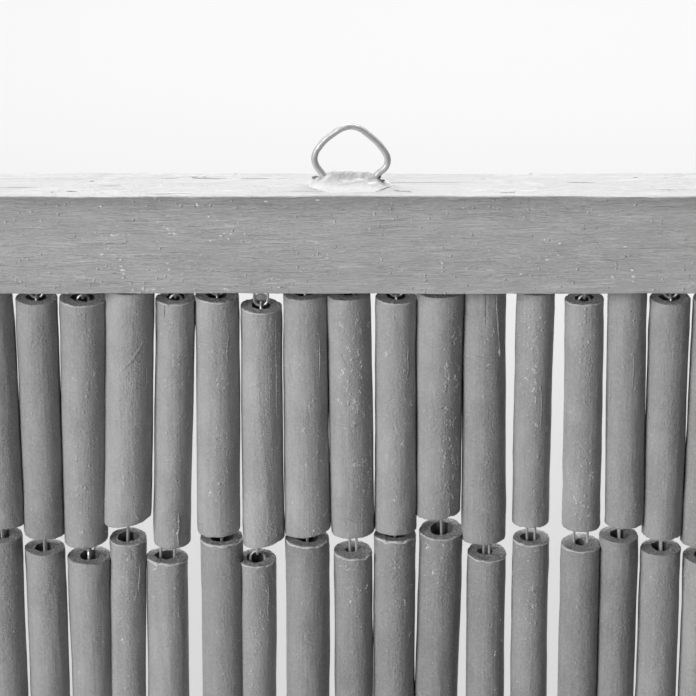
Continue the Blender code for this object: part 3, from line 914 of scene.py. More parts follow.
def mound_shape(points, side):
    """The half sphere's points as a low lumpy mound that runs out thin on the rail, and its tone: darker
    towards the crest, with painted shade in the hollows and painted highlights along the folds.
    """
    rng = np.random.default_rng(SEEDS["mound"])
    angle = np.arctan2(points[:, 1], points[:, 0])
    edge = 1.0 + 0.04 * np.sin(3 * angle + 0.6) + 0.03 * np.sin(7 * angle + 2.0)
    x = points[:, 0] * sizes().mound_width / 2 * edge - 0.25 * MM
    y = points[:, 1] * sizes().mound_depth / 2 * edge + 0.3 * MM
    profile_x, profile_z = zip(*MOUND_CREST)
    crest = np.interp(x / MM, profile_x, profile_z) * MM
    flank = 0.86 * np.exp(-((y / (2.4 * MM)) ** 2)) + 0.14 * np.exp(-((y / (4.4 * MM)) ** 2))
    places = np.stack([x, y, 0 * x], axis=1)
    lumps = 1.0 + 0.05 * waves(rng, places, 2.4 * MM, 14) + 0.03 * waves(rng, places, 0.9 * MM, 14)
    z = crest * flank * lumps * sizes().mound_height / (3.0 * MM)
    z += 0.04 * MM * waves(rng, places, 0.7 * MM, 14) - 0.15 * MM
    # Tone darker towards the crest.
    tone = -0.5 * np.clip(z / (2.4 * MM), 0.0, 1.0) ** 2
    # Each hollow is a real dent, and its darker tone is painted shade.
    for hollow_x, hollow_y, reach_x, reach_y in MOUND_HOLLOWS:
        gone = ((x / MM - hollow_x) / reach_x) ** 2 + ((y / MM - hollow_y) / reach_y) ** 2
        z -= 0.35 * MM * np.exp(-gone)
        tone -= np.exp(-(gone ** 2))
    # Each fold is a low real ridge, and its lighter tone is a painted highlight.
    for fold_x, fold_y, reach_x, reach_y in MOUND_FOLDS:
        bend = 0.25 * np.sin((x / MM - fold_x) / 0.8) - 0.12 * ((x / MM - fold_x) / reach_x) ** 2
        gone = ((x / MM - fold_x) / reach_x) ** 2 + ((y / MM - fold_y - bend) / reach_y) ** 2
        z += 0.16 * MM * np.exp(-gone)
        tone += 0.8 * np.exp(-gone)
    low = points[:, 2] <= 1e-6
    z = np.where(low, -0.40 * MM, np.maximum(z, -0.30 * MM))
    return np.stack([x + side * LOOP_X, y, z + RAIL_TOP], axis=1), tone


def painted_glue():
    """The rail's paint over glue: smoother and glossier, with small lumps."""
    found = bpy.data.materials.get("painted_glue")
    if found:
        return found
    material, tree, shader, place = new_material("painted_glue")
    lumps = stretched_noise(tree, place, (0.5, 0.9, 0.9))
    grain = stretched_noise(tree, place, (1.2, 2.4, 2.4))
    # The mound's tone: darker towards the crest, painted shade in the hollows, painted highlights on the
    # folds.
    own = mark_of(tree, "mound_tone_and_painted_light")
    tone = weighted(tree, 0.0, (lumps, 0.5), (grain, 0.5), (own, 1.6))
    tone = maths(tree, "MAXIMUM", tone, DARKEST_TONE)
    colour = toned_colour(tree, colours().rail, tone, 0.20)
    roughness = ramp(tree, own, -0.6, 0.0, 0.80, 0.44)
    finish_paint(tree, shader, colour, roughness, weighted(tree, lumps, (grain, 0.35)), 0.24 * MM)
    return material


# Hanging loops


# Unit normals of the plane in which a wire lies: facing the front, or seen edge on from there
FACING = (0.0, 1.0, 0.0)
EDGE_ON = (-1.0, 0.0, 0.0)


def swept_wire(path, radius, sides, closed, across):
    """Points and faces of a wire along a path in one plane. across is the plane's unit normal."""
    path = np.asarray(path)
    if closed:
        along = np.roll(path, -1, axis=0) - np.roll(path, 1, axis=0)
    else:
        along = np.gradient(path, axis=0)
    along /= np.linalg.norm(along, axis=1)[:, None]
    outward = np.cross(along, across)
    radii = np.broadcast_to(radius, (len(path),))[:, None, None]
    angles = np.arange(sides) * FULL_TURN / sides
    around = (
        outward[:, None, :] * np.cos(angles)[None, :, None]
        + np.asarray(across)[None, None, :] * np.sin(angles)[None, :, None]
    )
    points = (path[:, None, :] + around * radii).reshape(-1, 3)
    faces = []
    count = len(path)
    for k in range(count if closed else count - 1):
        here = k * sides
        there = (k + 1) % count * sides
        for s in range(sides):
            t = (s + 1) % sides
            faces.append((here + s, here + t, there + t, there + s))
    if not closed:
        faces.append(tuple(range(sides))[::-1])
        faces.append(tuple((count - 1) * sides + s for s in range(sides)))
    return points, faces


def model_loop(name, side, node):
    """One hanging loop of bent wire, thicker with paint at its feet."""
    route = [(x * MM, 0.0, z * MM) for x, z in LOOP_ROUTE]
    path = smooth_route(route, LOOP_POINTS)
    rng = np.random.default_rng(SEEDS["loop"])
    painted = np.exp(-(((path[:, 2] - 1.6 * MM) / (1.0 * MM)) ** 2))
    thickness = 1.0 + 0.025 * waves(rng, path, 3.0 * MM, 8)
    thickness += 0.08 * MM * painted / (sizes().loop_wire / 2)
    path += np.array([side * LOOP_X, 0.0, RAIL_TOP])
    deselect()
    bpy.ops.curve.primitive_nurbs_path_add(radius=1.0, location=(0.0, 0.0, 0.0))
    loop = start_piece(name)
    wire = loop.data
    wire.splines.clear()
    spline = wire.splines.new("POLY")
    spline.points.add(len(path) - 1)
    for point, place, share in zip(spline.points, path, thickness):
        point.co = (*place, 1.0)
        point.radius = share
    wire.bevel_depth = sizes().loop_wire / 2
    wire.bevel_resolution = LOOP_ROUNDNESS
    wire.use_fill_caps = True
    bpy.ops.object.convert(target="MESH")
    loop = start_piece(name)
    edit_all(loop)
    bpy.ops.mesh.remove_doubles(threshold=0.001 * MM)
    bpy.ops.mesh.normals_make_consistent(inside=False)
    object_mode()
    set_materials(loop, wire_steel("loop_steel", colours().loop, 0.30, 0.2))
    return finish_piece(loop, (node,))


# Tubes


def unit_tube(name, tube_sides, cuts, wall_cuts, rim):
    """The arrays of a hollow tube of radius 1 and length 1 that hangs from its top at 0."""
    deselect()
    bpy.ops.mesh.primitive_cylinder_add(
        vertices=tube_sides, radius=1.0, depth=1.0, end_fill_type="NGON", location=(0.0, 0.0, -0.5)
    )
    tube = start_piece(name)
    apply_place(tube)
    if rim:
        select_edges(tube, lambda a, b: abs(a.z - b.z) < 1e-4)
        bpy.ops.mesh.bevel(offset=rim, segments=2, affect="EDGES")
    select_parts(tube, "FACE", lambda face: abs(face.normal.z) > 0.99)
    bpy.ops.mesh.inset(thickness=1.0 - rim - MASTER_BORE)
    bpy.ops.mesh.delete(type="FACE")
    select_edges(tube, lambda a, b: max(a.xy.length, b.xy.length) < MASTER_BORE + 0.02)
    bpy.ops.mesh.bridge_edge_loops(number_cuts=3 if cuts else 0)
    if cuts:
        select_edges(tube, lambda a, b: abs(a.z - b.z) > 0.5 and a.xy.length > 0.9)
        bpy.ops.mesh.subdivide(number_cuts=cuts)
        select_edges(tube, lambda a, b: abs(a.xy.length - b.xy.length) > 0.2)
        bpy.ops.mesh.subdivide(number_cuts=wall_cuts)
    edit_all(tube)
    bpy.ops.mesh.normals_make_consistent(inside=False)
    object_mode()
    return mesh_arrays(tube)


def mesh_arrays(model):
    """A model's points, face corners, corner counts and slots (0 paint, 1 end, 2 bore). It is removed."""
    mesh = model.data
    points = points_of(mesh)
    corners = np.empty(len(mesh.loops), dtype=np.int32)
    mesh.loops.foreach_get("vertex_index", corners)
    counts = np.empty(len(mesh.polygons), dtype=np.int32)
    mesh.polygons.foreach_get("loop_total", counts)
    slots = np.zeros(len(mesh.polygons), dtype=np.int32)
    for k, face in enumerate(mesh.polygons):
        if abs(face.normal.z) > 0.8:
            slots[k] = 1
        elif face.center.xy.length < MASTER_BORE + 0.1:
            slots[k] = 2
    bpy.data.objects.remove(model, do_unlink=True)
    return points, corners, counts, slots


def joined_arrays(parts):
    """Many parts of points, corners, counts and slots as one."""
    offsets = np.cumsum([0] + [len(part[0]) for part in parts[:-1]])
    points, corners, counts, slots = zip(*parts)
    corners = [part + offset for part, offset in zip(corners, offsets)]
    return tuple(np.concatenate(arrays) for arrays in (points, corners, counts, slots))


def joined_mesh(name, parts, materials, marks=None):
    """One object from many parts of points, corners, counts and slots.

    marks gives the parts' values, one a part or one a point, for each attribute's name.
    """
    points, corners, counts, slots = joined_arrays(parts)
    starts = np.cumsum(counts) - counts
    mesh = bpy.data.meshes.new(name)
    mesh.vertices.add(len(points))
    mesh.loops.add(len(corners))
    mesh.polygons.add(len(counts))
    mesh.vertices.foreach_set("co", points.astype(np.float32).ravel())
    mesh.loops.foreach_set("vertex_index", corners.astype(np.int32))
    mesh.polygons.foreach_set("loop_start", starts.astype(np.int32))
    mesh.update(calc_edges=True)
    mesh.validate()
    piece = bpy.data.objects.new(name, mesh)
    bpy.context.scene.collection.objects.link(piece)
    set_materials(piece, *materials)
    mesh.polygons.foreach_set("material_index", slots.astype(np.int32))
    for label, values in (marks or {}).items():
        spread = [np.broadcast_to(value, (len(part[0]),)) for part, value in zip(parts, values)]
        set_mark(mesh, label, np.concatenate(spread))
    return piece


def strand_sizes(number):
    """The named sizes of one strand in metres, with its fine sizes."""
    k = (number - FIRST_ROW_STRAND) % len(STRAND_ROWS)
    given = dict(zip(STRAND_COLUMNS, STRAND_ROWS[k])) | dict(zip(FINE_COLUMNS, FINE_STRANDS[k]))
    return {name: value if name in BARE_COLUMNS else value * MM for name, value in given.items()}


def new_tube(x, upper, lean, length, widths, bore, facing, shade, off=0.0, tilt=0.0, rise=0.0):
    """One tube's place and size. x and upper give the middle of its upper end."""
    return {
        "top": Vector((x, 0.0, upper)),
        "foot": Vector((x + lean, 0.0, upper - length)),
        "width": widths,
        "bore": bore,
        "facing": facing,
        "shade": shade,
        "off": off,
        "tilt": tilt,
        "rise": rise,
    }


def strand_tubes(number):
    """The tubes of one strand from top to bottom."""
    rng = np.random.default_rng(SEEDS["strand"] + number)
    given = strand_sizes(number)
    x = (number - STRAND_MIDDLE) * STRAND_PITCH
    upper = RAIL_BOTTOM - given["drop"]
    widths = (given["width"] + given["top"], given["width"] + given["bottom"])
    tubes = [
        new_tube(
            x + given["offset"], upper, given["foot"], given["length"], widths, given["bore"],
            given["facing"], given["shade"], tilt=0.04, rise=given["rise"],
        )
    ]
    upper -= given["length"] + given["gap"]
    side = x + given["next_offset"] + given["side"]
    length = TUBE_PITCH - LINK_GAP + rng.uniform(-1.2, 1.2) * MM
    widths = (given["next_width"], given["next_width"] + rng.uniform(-0.2, 0.3) * MM)
    tubes.append(
        new_tube(
            side, upper, given["lean"], length, widths, given["next_bore"], 1 - given["facing"],
            given["next_shade"], off=given["off"], tilt=given["tilt"], rise=rng.uniform(-0.08, 0.08),
        )
    )
    upper -= length + LINK_GAP
    side += given["lean"] * 0.5
    for k in range(2, TUBES_PER_STRAND):
        length = TUBE_PITCH - LINK_GAP + rng.uniform(-1.5, 1.5) * MM
        side = x + (side - x) * 0.5 + rng.uniform(-0.35, 0.35) * MM
        lean = rng.uniform(-0.3, 0.3) * MM
        width = rng.uniform(7.5, 8.6) * MM
        widths = (width, width + rng.uniform(-0.2, 0.2) * MM)
        bore = rng.uniform(0.42, 0.56)
        facing = (given["facing"] + k) % 2
        tubes.append(new_tube(side - lean / 2, upper, lean, length, widths, bore, facing, LOWER_SHADE))
        upper -= length + LINK_GAP + rng.uniform(-0.9, 0.9) * MM
    return tubes


def placed_tube(points, tube):
    """The unit tube's points at the tube's place and size, with its own bore."""
    share = -points[:, 2]
    across = np.hypot(points[:, 0], points[:, 1])
    outer = tube["width"][0] / 2 + (tube["width"][1] - tube["width"][0]) / 2 * share
    wall = (across - MASTER_BORE) / (1.0 - MASTER_BORE)
    radius = outer * (tube["bore"] + (1.0 - tube["bore"]) * wall)
    axis = np.outer(1.0 - share, tube["top"]) + np.outer(share, tube["foot"])
    placed = axis.copy()
    placed[:, 0] += points[:, 0] / across * radius
    placed[:, 1] += points[:, 1] / across * radius
    return placed


def uneven_tube(points, tube, seed):
    """A fine tube: out of round, ridged, with a rough, chipped and slightly slanting cut."""
    rng = np.random.default_rng(seed)
    angle = np.arctan2(points[:, 1], points[:, 0])
    across = np.hypot(points[:, 0], points[:, 1])
    share = -points[:, 2]
    wall = np.clip((across - MASTER_BORE) / (1.0 - MASTER_BORE), 0.0, 1.0)
    placed = placed_tube(crowded_ends(points), tube)
    length = tube["top"].z - tube["foot"].z
    swell = 0.10 + (
        0.06 * np.cos(2 * angle + rng.uniform(0, FULL_TURN))
        + 0.05 * np.cos(3 * angle + rng.uniform(0, FULL_TURN) + 1.2 * share)
        + 0.05 * np.sin(FULL_TURN * (1.3 * share + rng.uniform()) + angle)
        + 0.03 * np.sin(FULL_TURN * (3.1 * share + rng.uniform()) + 2 * angle)
    )
    skin = np.stack([np.cos(angle), np.sin(angle), share * 5.0], axis=1)
    swell = swell + ridges(rng, angle, share) + 0.035 * waves(rng, skin, 0.55, 14)
    bore_waves = 0.0
    for times, depth in ((2, 0.14), (3, 0.08), (7, 0.06)):
        bore_waves = bore_waves + depth * np.cos(times * angle + rng.uniform(0, FULL_TURN))
    outward = np.stack([np.cos(angle), np.sin(angle), 0 * angle], axis=1)
    placed += outward * ((swell * wall + bore_waves * (1.0 - wall)) * MM)[:, None]
    placed[:, 0] += (tube["off"] + rng.uniform(-0.1, 0.1) * MM) * (1.0 - wall)
    placed[:, 1] += rng.uniform(-0.15, 0.15) * MM * (1.0 - wall)
    for end in (0.0, 1.0):
        axis = tube["foot"] if end else tube["top"]
        near = np.clip(1.0 - np.abs(share - end) * length / (3.0 * MM), 0.0, 1.0)
        rise = tube["rise"] if end else rng.uniform(-0.03, 0.03)
        tilt = rng.uniform(-0.03, 0.03) if end else tube["tilt"]
        flat = (placed[:, 0] - axis.x) * rise + placed[:, 1] * tilt
        sawn = waves(rng, placed * np.array([1.0, 1.0, 0.0]), 0.9 * MM, 12) * 0.045 * MM
        notch = np.zeros(len(placed))
        for _ in range(3):
            centre = rng.uniform(0, FULL_TURN)
            reach = rng.uniform(0.08, 0.22)
            gone = np.abs((angle - centre + math.pi) % FULL_TURN - math.pi) / reach
            notch += np.exp(-(gone ** 2)) * wall ** 3 * rng.uniform(0.05, 0.25) * MM
        placed[:, 2] += near * (flat + sawn + (notch if end else -notch))
        bead = waves(rng, skin * np.array([1.0, 1.0, 0.0]), 0.22, 14) * 0.05 * MM
        close = np.clip(1.0 - np.abs(share - end) * length / (0.7 * MM), 0.0, 1.0) * wall ** 2
        placed += outward * (bead * close)[:, None]
    return placed


def wrapped(flat, tube, height):
    """Points of a flat strip (along the skin, outward, up) laid round a unit tube."""
    radius = tube["width"][0] / 2
    length = tube["top"].z - tube["foot"].z
    turn = flat[:, 0] / radius
    shares = np.linspace(0.0, 1.0, 400)
    share = np.interp(-flat[:, 2] / length, -crowded_ends(np.outer(-shares, (0, 0, 1)))[:, 2], shares)
    reach = 1.0 + flat[:, 1] * height / (2 * (1.0 - tube["bore"]) * radius)
    return np.stack([np.sin(turn) * reach, -np.cos(turn) * reach, -share], axis=1)


def wrapped_part(part, tube, height, slot):
    """A flat part laid round a unit tube. Its faces are turned over, as the wrapping mirrors them."""
    flat, corners, counts, slots = part
    return wrapped(flat, tube, height), corners[::-1], counts[::-1], slots + slot


def seam_part(tube, half_width, height, slot, route):
    """A raised thread of paint along a route on a fine tube, in the unit tube's measure."""
    radius = tube["width"][0] / 2
    bends = [(math.radians(turn) * radius, 0.0, -down * MM) for turn, down in route]
    path = smooth_route(bends, 7 * len(route))
    along = np.linspace(0.03, 0.97, len(path))
    rng = np.random.default_rng(len(route) + int(abs(route[0][0])))
    taper = np.sin(math.pi * along) ** 0.4 * (1.0 + 0.30 * waves(rng, path, 1.2 * MM, 8))
    part = wire_part(path, FACING, taper * half_width * MM, SEAM_SIDES, False)
    return wrapped_part(part, tube, height / half_width, slot)


def rows_of(table, number, row):
    """The table's rows for one tube, without the strand and the row that they start with."""
    return [values for strand, tube_row, *values in table if (strand, tube_row) == (number, row)]


def grain_parts(number, row, tube, grain):
    """Raised grains of dried paint in a fine tube's pimpled patches."""
    rng = np.random.default_rng(SEEDS["grains"] + FINE_ROWS * number + row)
    radius = tube["width"][0] / 2
    length = tube["top"].z - tube["foot"].z
    found = []
    for turn, turn_reach, down, down_reach, _, count in rows_of(PIMPLED, number, row):
        around = 0.0
        along = 0.0
        for k in range(count):
            if k % 3 == 0:
                around = math.radians(turn + turn_reach * rng.uniform(-1.0, 1.0)) * radius
                along = (down + down_reach * rng.uniform(-1.0, 1.0)) * MM
            else:
                around += rng.uniform(-0.5, 0.5) * MM
                along += rng.uniform(0.2, 0.6) * MM
            place = np.array([around, 0.0, -min(max(along, 1.5 * MM), length - 1.5 * MM)])
            size = rng.uniform(0.10, 0.22) * MM
            tilt = rng.uniform(-0.7, 0.7)
            flat = grain[0] * np.array([rng.uniform(0.8, 1.3), 0.6, rng.uniform(0.9, 2.2)]) * size
            flat[:, 0] += flat[:, 2] * tilt
            # Grains are in slot 3, the lighter paint that is a painted highlight.
            found.append(wrapped_part((flat + place, *grain[1:]), tube, 1.0, 3))
    return found


def pimples_on(points, number, row):
    """How pimpled the paint is at each point of a fine unit tube."""
    turn = np.degrees(np.arctan2(points[:, 0], -points[:, 1]))
    down = -points[:, 2] * (TUBE_PITCH - LINK_GAP) / MM
    total = np.full(len(points), 0.12)
    for middle, reach, depth, depth_reach, strength, _ in rows_of(PIMPLED, number, row):
        gone = ((turn - middle) / reach) ** 2 + ((down - depth) / depth_reach) ** 2
        total += strength * np.exp(-0.7 * gone ** 2)
    return np.clip(total, 0.0, 1.0)


def seam_parts(number, row, tube):
    """All threads of paint on one fine tube."""
    found = [seam_part(tube, *seam) for seam in rows_of(SEAMS, number, row)]
    for half_width, height in rows_of(RIM_BEADS, number, row):
        route = [
            (turn, 0.2 + half_width * (0.4 + 0.5 * math.sin(turn / 7.0 + number)))
            for turn in range(-84, 85, 12)
        ]
        # Rim beads are in slot 3, the lighter paint that is a painted highlight.
        found.append(seam_part(tube, half_width, height, 3, route))
    return found


def crowded_ends(points):
    """The unit tube with its cross cuts moved towards both ends."""
    moved = points.copy()
    share = -points[:, 2]
    moved[:, 2] = -(share - 0.10 * np.sin(FULL_TURN * share) * (share > 0) * (share < 1))
    return moved


def ridges(rng, angle, share):
    """Lengthwise ridges and furrows under the paint, in mm."""
    total = np.zeros(len(angle))
    for _ in range(3):
        centre = rng.uniform(0, FULL_TURN) + 0.25 * np.sin(FULL_TURN * (1.2 * share + rng.uniform()))
        gap = (angle - centre + math.pi) % FULL_TURN - math.pi
        total += rng.uniform(-0.08, 0.10) * np.exp(-((gap / 0.12) ** 2))
    return total


def model_tubes():
    """All tubes: the fine ones under the left loop, and the plain ones in pieces side by side."""
    grain_paint = painted_highlight_paint("tube_grains_painted_highlight", colours().grains)
    materials = (tube_paint(), tube_end(), tube_bore(), grain_paint)
    rng = np.random.default_rng(SEEDS["tone"])
    fine_arrays = unit_tube("fine_tube", FINE_SIDES, FINE_CUTS, FINE_WALL_CUTS, FINE_RIM)
    plain_arrays = unit_tube("plain_tube", PLAIN_SIDES, 0, 0, 0.0)
    grain = lump_arrays(6, 4)
    fine_parts = [[] for _ in range(FINE_ROWS)]
    plain_parts = {}
    for number in range(STRAND_COUNT):
        for row, tube in enumerate(strand_tubes(number)):
            # Random tone, each tube's given shade, and the painted shade of the rows below the first.
            tone = 0.5 + rng.uniform(-0.22, 0.22) + tube["shade"] - LOWER_PAINTED_SHADE * (row > 0)
            if FINE_FIRST <= number <= FINE_LAST and row < FINE_ROWS:
                seams = seam_parts(number, row, tube) + grain_parts(number, row, tube, grain)
                points, *faces = joined_arrays([fine_arrays, *seams])
                placed = uneven_tube(points, tube, SEEDS["fine"] * number + row)
                fine_parts[row].append(((placed, *faces), tone, pimples_on(points, number, row)))
            else:
                part = (placed_tube(plain_arrays[0], tube), *plain_arrays[1:])
                group = number * PLAIN_GROUPS // STRAND_COUNT
                plain_parts.setdefault(group, []).append((part, tone, PLAIN_PIMPLES))
    pieces = dict(zip(("first_row_tubes", "second_row_tubes"), fine_parts))
    pieces.update((f"tubes_{group + 1}", found) for group, found in plain_parts.items())
    for name, found in pieces.items():
        parts, tones, pimples = zip(*found)
        piece = joined_mesh(name, parts, materials, {"tube_tone_and_painted_shade": tones, "tube_pimples": pimples})
        finish_piece(piece, ("strands",))


# Wire rings and rail eyes


def upright_path(steps, facing):
    """A wire's path and its plane's normal, from steps of x, way to the side and height."""
    if facing:
        return [(x + a, 0.0, z) for x, a, z in steps], FACING
    return [(x, a, z) for x, a, z in steps], EDGE_ON


def bend(middle, height, radius, first_turn, count):
    """A half turn of wire in equal steps about a point."""
    for k in range(count + 1):
        turn = first_turn + math.pi * k / count
        yield middle, math.cos(turn) * radius, height + math.sin(turn) * radius


def ring_path(top, foot, widths, facing, bend_steps):
    """A long narrow ring from top to foot."""
    upper = bend(top.x, top.z - widths[0] / 2, widths[0] / 2, 0.0, bend_steps)
    lower = bend(foot.x, foot.z + widths[1] / 2, widths[1] / 2, math.pi, bend_steps)
    return upright_path([*upper, *lower], facing)


def eye_path(x, bottom, width, facing, bend_steps):
    """A rail eye: a U that hangs from the rail's underside to its bottom."""
    radius = width / 2
    root = RAIL_BOTTOM + 1.0 * MM
    under = bend(x, bottom + radius, radius, math.pi, bend_steps)
    return upright_path([(x, -radius, root), *under, (x, radius, root)], facing)


def wire_part(path, across, radius, wire_sides, closed):
    """One wire as arrays for joined_mesh."""
    points, faces = swept_wire(path, radius, wire_sides, closed, across)
    counts = np.array([len(face) for face in faces], dtype=np.int32)
    corners = np.array([k for face in faces for k in face], dtype=np.int32)
    return points, corners, counts, np.zeros(len(faces), dtype=np.int32)


def model_rings():
    """The wire ring in each tube, hooked through the ring above, and the eyes in the rail."""
    steel = wire_steel("ring_steel", colours().wire, 0.32, 0.5)
    wire = sizes().wire
    plain_width = sizes().ring_width
    parts = {}
    eyes = []
    for number in range(STRAND_COUNT):
        tubes = strand_tubes(number)
        given = strand_sizes(number)
        rng = np.random.default_rng(SEEDS["rings"] + number)
        fine_strand = FINE_FIRST <= number <= FINE_LAST
        links = [tubes[0]["top"].z - 0.1 * MM, tubes[1]["top"].z + given["link"]]
        links += [tube["top"].z + rng.uniform(-1.6, 1.2) * MM for tube in tubes[2:]]
        links.append(tubes[-1]["foot"].z + 1.5 * MM)
        for k, tube in enumerate(tubes):
            fine = fine_strand and k < FINE_ROWS
            top = Vector((tube["top"].x, 0.0, links[k] + wire))
            foot = Vector((tubes[min(k + 1, len(tubes) - 1)]["top"].x, 0.0, links[k + 1]))
            spread = given["spread"] if k in (0, 1) else plain_width
            widths = (plain_width, spread) if k == 0 else (spread, plain_width)
            path, across = ring_path(top, foot, widths, tube["facing"], 8 if fine else 3)
            part = wire_part(path, across, wire / 2, 8 if fine else 3, True)
            parts.setdefault(number * RING_GROUPS // STRAND_COUNT, []).append(part)
        steps, wire_sides = (10, 8) if fine_strand else (4, 4)
        path, across = eye_path(
            tubes[0]["top"].x, links[0], sizes().eye_width, 1 - tubes[0]["facing"], steps
        )
        eyes.append(wire_part(path, across, wire / 2, wire_sides, False))
    for half, found in parts.items():
        finish_piece(joined_mesh(f"wire_rings_{half + 1}", found, (steel,)))
    finish_piece(joined_mesh("rail_eyes", eyes, (steel,)))


# Stage

# Share of its true shading that the floor shows to the eye, its own brightness near and far, and
# how far behind the curtain the one starts to turn into the other and ends
FLOOR_SHADING = 0.3125
FLOOR_GLOW = (0.465, 0.632)
FLOOR_GLOW_REACH = (3.5, 7.5)
# The photograph's width and its scale at the curtain
FRAME_PIXELS = 696
PIXELS_PER_MM = 5.0


def area_light(name, place, target, size, power):
    """A soft light of this width and height that points at the target, unseen itself."""
    data = bpy.data.lights.new(name, "AREA")
    data.shape = "RECTANGLE"
    data.size, data.size_y = size
    data.energy = power
    light = bpy.data.objects.new(name, data)
    bpy.context.scene.collection.objects.link(light)
    light.location = place
    light.rotation_euler = (Vector(target) - Vector(place)).to_track_quat("-Z", "Y").to_euler()
    light.visible_camera = False
    return light


def set_world():
    """A dim room that looks pale behind the object."""
    world = bpy.data.worlds.new("pale_room")
    world.use_nodes = True
    tree = world.node_tree
    background = tree.nodes["Background"]
    seen = put(tree, "ShaderNodeLightPath").outputs["Is Camera Ray"]
    tree.links.new(ramp(tree, seen, 0.0, 1.0, 0.012, 0.90), background.inputs["Strength"])
    background.inputs["Color"].default_value = (1.0, 1.0, 1.0, 1.0)
    bpy.context.scene.world = world


def model_floor():
    """A wide pale floor under the curtain."""
    deselect()
    bpy.ops.mesh.primitive_circle_add(
        vertices=96, radius=40.0, fill_type="NGON", location=(0.0, 0.0, FLOOR_HEIGHT)
    )
    floor = start_piece("studio_floor")
    apply_place(floor)
    set_materials(floor, floor_paper())


def floor_paper():
    """Pale paper that is evenly bright to the eye, and reflects light as plain paper does."""
    material, tree, shader, place = new_material("floor_paper")
    clouds = stretched_noise(tree, place, (0.0004, 0.0004, 0.0004), detail=2.0)
    seen = put(tree, "ShaderNodeBsdfPrincipled")
    for node, share in ((shader, 1.0), (seen, FLOOR_SHADING)):
        colour = [value * share for value in colours().floor]
        tree.links.new(toned_colour(tree, colour, clouds, 0.02), node.inputs["Base Color"])
        node.inputs["Roughness"].default_value = 0.9
    depth = put(tree, "ShaderNodeSeparateXYZ", Vector=place).outputs["Y"]
    glow = ramp(tree, depth, *FLOOR_GLOW_REACH, *FLOOR_GLOW)
    glow = put(tree, "ShaderNodeCombineColor", n0=glow, n1=glow, n2=glow).outputs[0]
    tree.links.new(glow, seen.inputs["Emission Color"])
    seen.inputs["Emission Strength"].default_value = 1.0
    to_eye = put(tree, "ShaderNodeLightPath").outputs["Is Camera Ray"]
    mixed = put(tree, "ShaderNodeMixShader", n0=to_eye, n1=shader.outputs[0], n2=seen.outputs[0])
    tree.links.new(mixed.outputs[0], tree.nodes["Material Output"].inputs["Surface"])
    return material


def set_camera():
    """The camera at the photograph's angle, over the left loop."""
    stage = bpy.context.scene.curtain_stage
    view_x = -LOOP_X - 0.6 * MM
    view_z = RAIL_BOTTOM - 14.1 * MM
    data = bpy.data.cameras.new("camera")
    data.sensor_width = 36.0
    data.lens = PIXELS_PER_MM * stage.distance / MM / FRAME_PIXELS * data.sensor_width
    data.clip_start = 0.01
    data.clip_end = 200.0
    camera = bpy.data.objects.new("camera", data)
    bpy.context.scene.collection.objects.link(camera)
    back = Vector((0.0, -math.cos(stage.elevation), math.sin(stage.elevation)))
    camera.location = Vector((view_x, 0.0, view_z)) + back * stage.distance
    camera.rotation_euler = (math.pi / 2 - stage.elevation, 0.0, 0.0)
    bpy.context.scene.camera = camera


def set_stage():
    stage = bpy.context.scene.curtain_stage
    model_floor()
    set_world()
    target = (-0.3, 0.0, -0.3)
    area_light("key_light", (-2.2, -1.75, 0.75), target, (1.3, 1.3), stage.key)
    area_light("top_light", (-0.3, 0.7, 2.2), (-0.3, 0.0, 0.0), (3.4, 1.0), stage.top)
    area_light("side_light", (1.4, 0.5, 1.2), (-0.36, 0.0, 0.0), (0.4, 0.4), stage.side)
    area_light("floor_light", (0.0, 8.0, 2.45), (0.0, 8.1, -2.05), (6.0, 6.0), stage.floor_light)
    set_camera()
    view = bpy.context.scene.view_settings
    view.view_transform = "Standard"
    view.look = "None"
    view.exposure = 0.0


# Operators, panel and registration


class CURTAIN_OT_rail(bpy.types.Operator):
    """Model the painted head rail"""

    bl_idname = "curtain.rail"
    bl_label = "Head rail"

    def execute(self, context):
        model_rail()
        model_rail_lumps()
        return {"FINISHED"}


class CURTAIN_OT_mounds(bpy.types.Operator):
    """Model the glue mounds at the loops' feet"""

    bl_idname = "curtain.mounds"
    bl_label = "Glue mounds"

    def execute(self, context):
        model_mound("glue_mound_left", -1, "mound_left")
        model_mound("glue_mound_right", 1, "mound_right")
        return {"FINISHED"}


class CURTAIN_OT_loops(bpy.types.Operator):
    """Model the two hanging loops"""

    bl_idname = "curtain.loops"
    bl_label = "Hanging loops"

    def execute(self, context):
        model_loop("hanging_loop_left", -1, "loop_left")
        model_loop("hanging_loop_right", 1, "loop_right")
        return {"FINISHED"}


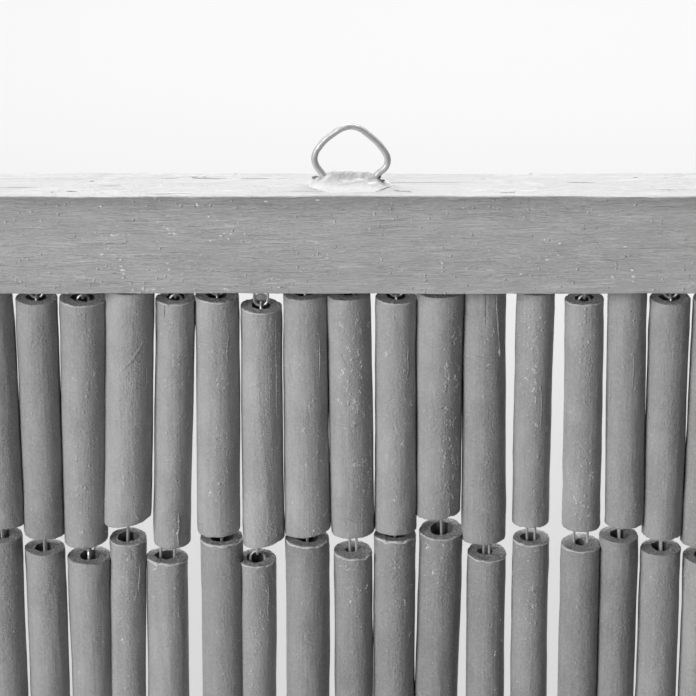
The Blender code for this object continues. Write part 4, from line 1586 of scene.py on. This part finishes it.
class CURTAIN_OT_tubes(bpy.types.Operator):
    """Model all bamboo tubes"""

    bl_idname = "curtain.tubes"
    bl_label = "Bamboo tubes"

    def execute(self, context):
        model_tubes()
        return {"FINISHED"}


class CURTAIN_OT_rings(bpy.types.Operator):
    """Model the wire rings in the tubes and the eyes in the rail"""

    bl_idname = "curtain.rings"
    bl_label = "Wire rings and eyes"

    def execute(self, context):
        model_rings()
        return {"FINISHED"}


class CURTAIN_OT_stage(bpy.types.Operator):
    """Set the floor, the lights and the camera"""

    bl_idname = "curtain.stage"
    bl_label = "Stage"

    def execute(self, context):
        set_stage()
        return {"FINISHED"}


OPERATORS = (
    CURTAIN_OT_rail,
    CURTAIN_OT_mounds,
    CURTAIN_OT_loops,
    CURTAIN_OT_tubes,
    CURTAIN_OT_rings,
    CURTAIN_OT_stage,
)


class CURTAIN_PT_panel(bpy.types.Panel):
    """The curtain's pieces and their settings"""

    bl_idname = "CURTAIN_PT_panel"
    bl_label = "Bead curtain"
    bl_space_type = "VIEW_3D"
    bl_region_type = "UI"
    bl_category = "Curtain"

    def draw(self, context):
        for operator in OPERATORS:
            self.layout.operator(operator.bl_idname)
        for settings in (
            context.scene.curtain_sizes,
            context.scene.curtain_colours,
            context.scene.curtain_stage,
        ):
            box = self.layout.box()
            for name in settings.__annotations__:
                box.prop(settings, name)


CLASSES = (CurtainSizes, CurtainColours, CurtainStage, *OPERATORS, CURTAIN_PT_panel)


def register():
    for item in CLASSES:
        bpy.utils.register_class(item)
    bpy.types.Scene.curtain_sizes = bpy.props.PointerProperty(type=CurtainSizes)
    bpy.types.Scene.curtain_colours = bpy.props.PointerProperty(type=CurtainColours)
    bpy.types.Scene.curtain_stage = bpy.props.PointerProperty(type=CurtainStage)


def unregister():
    del bpy.types.Scene.curtain_sizes
    del bpy.types.Scene.curtain_colours
    del bpy.types.Scene.curtain_stage
    for item in reversed(CLASSES):
        bpy.utils.unregister_class(item)


def main():
    register()
    for operator in OPERATORS:
        group, name = operator.bl_idname.split(".")
        getattr(getattr(bpy.ops, group), name)()


if __name__ == "__main__":
    main()
